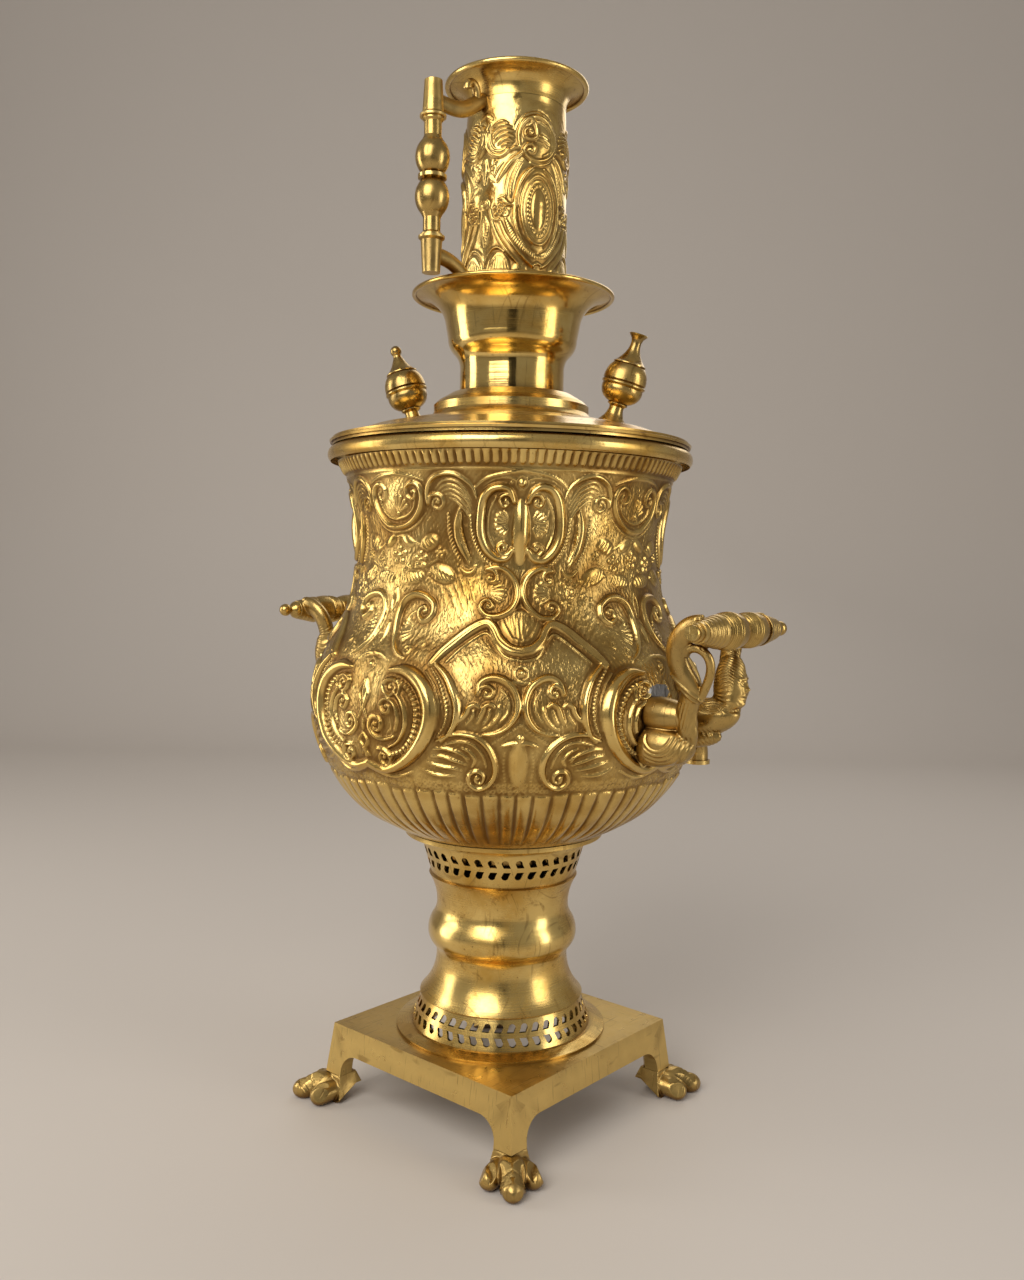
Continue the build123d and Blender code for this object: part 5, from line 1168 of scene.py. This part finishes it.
def finer(node, name, size, shape):
    """A finely meshed copy of a CAD node, worked by a function of its points and normals in millimetres."""
    obj = add_object(name, NODES[node].data.copy())
    remesh = obj.modifiers.new("voxels", "REMESH")
    remesh.mode = "VOXEL"
    remesh.voxel_size = size * MM * 1
    mesh = bpy.data.meshes.new_from_object(obj.evaluated_get(bpy.context.evaluated_depsgraph_get()))
    obj.modifiers.clear()
    obj.data = mesh
    count = len(mesh.vertices)
    co, no = np.empty(3 * count, np.float32), np.empty(3 * count, np.float32)
    mesh.vertices.foreach_get("co", co)
    mesh.vertices.foreach_get("normal", no)
    worked = shape(co.reshape(-1, 3) / MM, no.reshape(-1, 3)) * MM
    mesh.vertices.foreach_set("co", worked.astype(np.float32).ravel())
    mesh.shade_smooth()
    stand_in(obj, node, CAST)


def bell(value, centre, width):
    """A smooth bump of height 1 at the centre."""
    return np.exp(-(((value - centre) / width) ** 2))


def filed(p, centre, radius, share, normals):
    """Flat facets filed on a round end."""
    for normal in normals:
        n = np.array(normal, float)
        n = n / np.linalg.norm(n)
        off = p - centre
        over = off @ n - share * radius
        near = (np.linalg.norm(off, axis=1) < 1.7 * radius) & (over > 0)
        p = p - (over * near)[:, None] * n
    return p


def eye_rings(p, side):
    """Turned rings on the eye that holds the spindle."""
    off = np.hypot(p[:, 0] - GRIP_OUT, p[:, 2] - GRIP_LEVEL)
    y = side * p[:, 1]
    rings = ((25.0, 0.45), (28.2, 0.4), (31.2, 0.4), (34.0, 0.35))
    cut = sum(bell(y, place, width) for place, width in rings)
    return -0.55 * cut * (off > 5.3) * (off < 10.5) * (p[:, 0] > 155)


def carve_scroll(p, n):
    """The scroll arm: rings on the eye, the leaf's two ridges and the shell's steps on the foot."""
    move = eye_rings(p, -1)
    outward = np.clip(-n[:, 1] * 1.6, 0, 1)
    for offset, amount in ((0.0, 1.0), (3.1, 0.8)):
        a, b = np.array((135.5, 277.0 - offset)), np.array((152.5, 262.5 - offset))
        q = p[:, (0, 2)] - a
        t = np.clip(q @ (b - a) / ((b - a) @ (b - a)), 0, 1)
        far = np.hypot(*(q - t[:, None] * (b - a)).T)
        move = move + amount * np.exp(-((far / 0.75) ** 2)) * outward
    step = np.hypot(p[:, 0] - 126, (p[:, 2] - 243.5) * 0.9)
    shell = np.clip((243.5 - p[:, 2]) / 1.5, 0, 1) * np.clip((step - 5) / 2, 0, 1) * (p[:, 0] > 119)
    move = move - 0.7 * shell * (1 - np.abs(np.sin(np.pi * step / 2.3))) ** 0.8
    leaf = np.clip((p[:, 2] - 245) / 2, 0, 1) * (p[:, 2] < 262) * (p[:, 0] > 138)
    move = move - 0.35 * leaf * (0.5 + 0.5 * np.cos(2 * np.pi * (p[:, 0] - 0.45 * p[:, 2]) / 2.2))
    return p + move[:, None] * n


def carve_figure(p, n):
    """The figure arm: a small plain face that looks outward, combed hair, and rings on the eye."""
    move = eye_rings(p, 1)
    z = p[:, 2]
    v = p[:, 1] - (29 + 17 * (z - GRIP_LEVEL) / 55)
    front = np.clip(n[:, 0] * 2.2 - 0.3, 0, 1) * (p[:, 0] > 146)
    # Each form of the face: its height, then its level, half height, place sideways and half width
    middle = (
        (2.6, 267.2, 1.5, 0, 1.3), (1.2, 270.0, 1.6, 0, 0.9), (0.9, 273.0, 0.8, 0, 4.6),
        (0.75, 264.1, 0.5, 0, 1.9), (-0.7, 263.3, 0.35, 0, 2.3), (0.7, 262.5, 0.5, 0, 1.7),
        (1.2, 259.7, 1.3, 0, 2.3), (-2.0, 256.2, 1.4, 0, 6), (-0.8, 276.5, 2.0, 0, 5),
    )
    beside = ((-1.0, 270.6, 1.1, 2.9, 1.5), (0.65, 270.5, 0.6, 2.9, 0.8), (0.6, 265.6, 1.9, 3.915, 1.7))
    mirrored = [(rise, level, up, -place, wide) for rise, level, up, place, wide in beside]
    forms = (*middle, *beside, *mirrored)
    face = sum(rise * bell(z, level, up) * bell(v, place, wide) for rise, level, up, place, wide in forms)
    move = move + face * front
    mask = np.clip((z - 254) / 2, 0, 1) * np.clip((291 - z) / 3, 0, 1)
    bare = mask * (1 - front * bell(z, 266, 7.5))
    comb = 0.5 + 0.5 * np.cos(2 * np.pi * (0.9 * z + 0.7 * v + 0.8 * np.sin(0.5 * p[:, 0] + 0.3 * z)) / 1.75)
    move = move - 0.42 * bare * comb
    folds = np.clip((246 - z) / 3, 0, 1) * (p[:, 0] < 150)
    move = move - 0.25 * folds * (0.5 + 0.5 * np.cos(2 * np.pi * (p[:, 0] + 0.6 * z) / 2.6))
    return p + move[:, None] * n


def turned_half(shape):
    """The same work on the piece that is turned half round the samovar's axis."""
    flip = np.array((-1, -1, 1))
    return lambda p, n: shape(p * flip, n * flip) * flip


def carve_paw(azimuth):
    """A paw's filed facets and the creases where it leaves the leg."""
    c, s = math.cos(math.radians(azimuth)), math.sin(math.radians(azimuth))
    turn = np.array(((c, -s, 0), (s, c, 0), (0, 0, 1)))

    def shape(p, n):
        q, m = p @ turn, n @ turn
        q = filed(q, (122.6, 0, 6.3), 6.3, 0.84,
                  ((0.85, 0, 0.55), (0.3, 0.7, 0.65), (0.3, -0.7, 0.65), (0.8, 0.6, 0), (0.8, -0.6, 0)))
        q = filed(q, (111.0, 0, 8.2), 8.2, 0.86, ((0.35, 0.55, 0.75), (0.35, -0.55, 0.75)))
        for side in (-1, 1):
            q = filed(
                q, (114.6, 11.4 * side, 6.0), 6.0, 0.8,
                ((0.8, 0.55 * side, 0.2), (0.35, 0.5 * side, 0.8), (0.6, -0.4 * side, 0.75),
                 (-0.1, 0.9 * side, 0.4)),
            )
        out = np.clip((q[:, 0] - 99) / 3, 0, 1) * np.clip((124 - q[:, 0]) / 4, 0, 1)
        move = -0.5 * bell(q[:, 2], 16.6 - 0.10 * np.abs(q[:, 1]), 0.5) * out
        move -= 0.35 * bell(q[:, 2] + 0.5 * np.abs(q[:, 1]), 19.8, 0.5) * out
        move -= 0.35 * bell(q[:, 0], 117.6, 0.6) * np.clip(m[:, 2], 0, 1) * bell(q[:, 1], 0, 6)
        q = q + (move * np.clip(q[:, 2] / 2, 0, 1))[:, None] * m
        q[:, 2] += np.clip((101.5 - q[:, 0]) * 0.8, 0, 9.5) * np.clip(1 - q[:, 2] / 16.4, 0, 1)
        return q @ turn.T

    return shape


def lathe(node, name, centre, toward, profile, sectors=96):
    """A turned piece in place of a CAD node: profile points are (along, radius) in millimetres."""
    axis = Vector(toward).normalized()
    across = axis.orthogonal().normalized()
    other = axis.cross(across)
    verts, faces = [], []
    for along, radius in profile:
        for k in range(sectors):
            turn = 2 * math.pi * k / sectors
            outward = across * math.cos(turn) + other * math.sin(turn)
            verts.append((Vector(centre) + axis * along + outward * max(radius, 0.01)) * MM)
    for i in range(len(profile) - 1):
        for k in range(sectors):
            a, b = i * sectors + k, i * sectors + (k + 1) % sectors
            faces.append((a, b, b + sectors, a + sectors))
    mesh = bpy.data.meshes.new(name)
    mesh.from_pydata(verts, [], faces)
    mesh.shade_smooth()
    mesh.set_sharp_from_angle(angle=math.radians(40))
    stand_in(add_object(name, mesh), node, TURNED)


def spindle_profile():
    """A handle's spindle: a stepped stub, two beads with fine ridges on one side, a thin neck and a ball."""
    points = [(-45.5, 0.0), (-45.5, 3.8), (-45.1, 4.1), (-42.7, 4.1), (-42.5, 4.9), (-39.8, 4.9),
              (-39.6, 5.7), (-36.7, 5.7), (-36.65, 4.6), (-21.4, 4.6), (-21.35, 8.1)]
    for start, peak in ((-21.3, 10.15), (0.0, 9.65)):
        for i in range(1, 86):
            t = i * 0.25
            if t > 21.25:
                break
            radius = 7.5 + (peak - 7.5) * math.sin(math.pi * t / 21.3) ** 0.6
            if t < 9.3:
                radius -= 0.62 * (0.5 - 0.5 * math.cos(2 * math.pi * t / 1.55))
            radius -= 0.9 * math.exp(-(((t - 9.9) / 0.5) ** 2))
            points.append((start + t, radius))
    points += [(21.35, 8.1), (21.4, 4.6), (36.65, 4.6), (36.7, 5.7), (38.2, 5.5), (39.6, 4.2),
               (41.4, 2.3), (42.0, 2.3)]
    for i in range(1, 13):
        turn = math.pi * (0.19 + 0.81 * i / 12)
        points.append((45.5 - 4.1 * math.cos(turn), 4.1 * math.sin(turn)))
    return points


def knob_profile(trumpet):
    """A lid knob: flared foot, waist, banded barrel and a cone that ends in a ball or a small trumpet."""
    points = [(-5.5, 0.0), (-5.5, 2.0), (-1.0, 2.0), (-1.0, 8.2), (0.7, 8.3), (1.4, 7.5), (2.4, 7.0),
              (3.4, 6.1), (5.4, 5.1), (7.8, 4.4), (9.6, 4.3), (10.4, 4.9), (10.9, 5.9), (11.5, 6.0),
              (11.9, 5.6), (12.8, 7.6), (14.4, 9.9), (16.4, 11.4), (18.8, 12.2), (21.0, 12.3),
              (21.5, 12.0), (22.0, 12.4), (22.6, 13.0), (23.4, 13.0), (23.9, 12.5), (24.3, 12.2),
              (24.8, 12.8), (27.0, 12.7), (29.6, 12.2), (32.0, 11.2), (33.8, 10.0), (34.6, 9.2),
              (34.9, 9.6), (35.5, 9.6), (35.8, 9.0), (36.8, 8.0), (38.6, 6.4), (40.8, 4.9), (43.4, 3.7)]
    if trumpet:
        points += [(45.8, 3.1), (48.2, 3.0), (50.2, 3.6), (51.8, 4.9), (52.6, 5.6), (53.0, 5.3),
                   (52.4, 4.2), (50.6, 2.4), (46.0, 2.0), (40.0, 2.0), (40.0, 0.0)]
    else:
        points += [(45.0, 2.9), (46.2, 2.5)]
        points += [(49.5 - 3.5 * math.cos(a), 3.5 * math.sin(a)) for a in np.linspace(0.8, math.pi, 12)]
    return points


def carve_fittings():
    """The pieces whose turned and carved forms the CAD leaves plain."""
    for tip, azimuth in (("ball", math.radians(23)), ("trumpet", math.radians(203))):
        c, s = math.cos(azimuth), math.sin(azimuth)
        lathe(
            f"lid_knob_{tip}", f"knob_{tip}_turned", (KNOB_OUT * c, KNOB_OUT * s, KNOB_LEVEL),
            (math.sin(KNOB_LEAN) * c, math.sin(KNOB_LEAN) * s, math.cos(KNOB_LEAN)),
            knob_profile(tip == "trumpet"),
        )
    for side, turned in (("right", False), ("left", True)):
        for part, shape in (("scroll_arm", carve_scroll), ("figure_arm", carve_figure)):
            finer(f"{side}_{part}", f"{side}_{part}_cast", 0.45, turned_half(shape) if turned else shape)
        sign = -1 if turned else 1
        middle = (GRIP_OUT * sign, 0, GRIP_LEVEL)
        lathe(f"{side}_spindle", f"{side}_spindle_turned", middle, (0, sign, 0), spindle_profile())
    corners = (("back_right", 45), ("back_left", 135), ("front_left", 225), ("front_right", 315))
    for corner, azimuth in corners:
        finer(f"paw_foot_{corner}", f"paw_{corner}_cast", 0.4, carve_paw(azimuth))


build_vessel()
build_chimney()
carve_fittings()
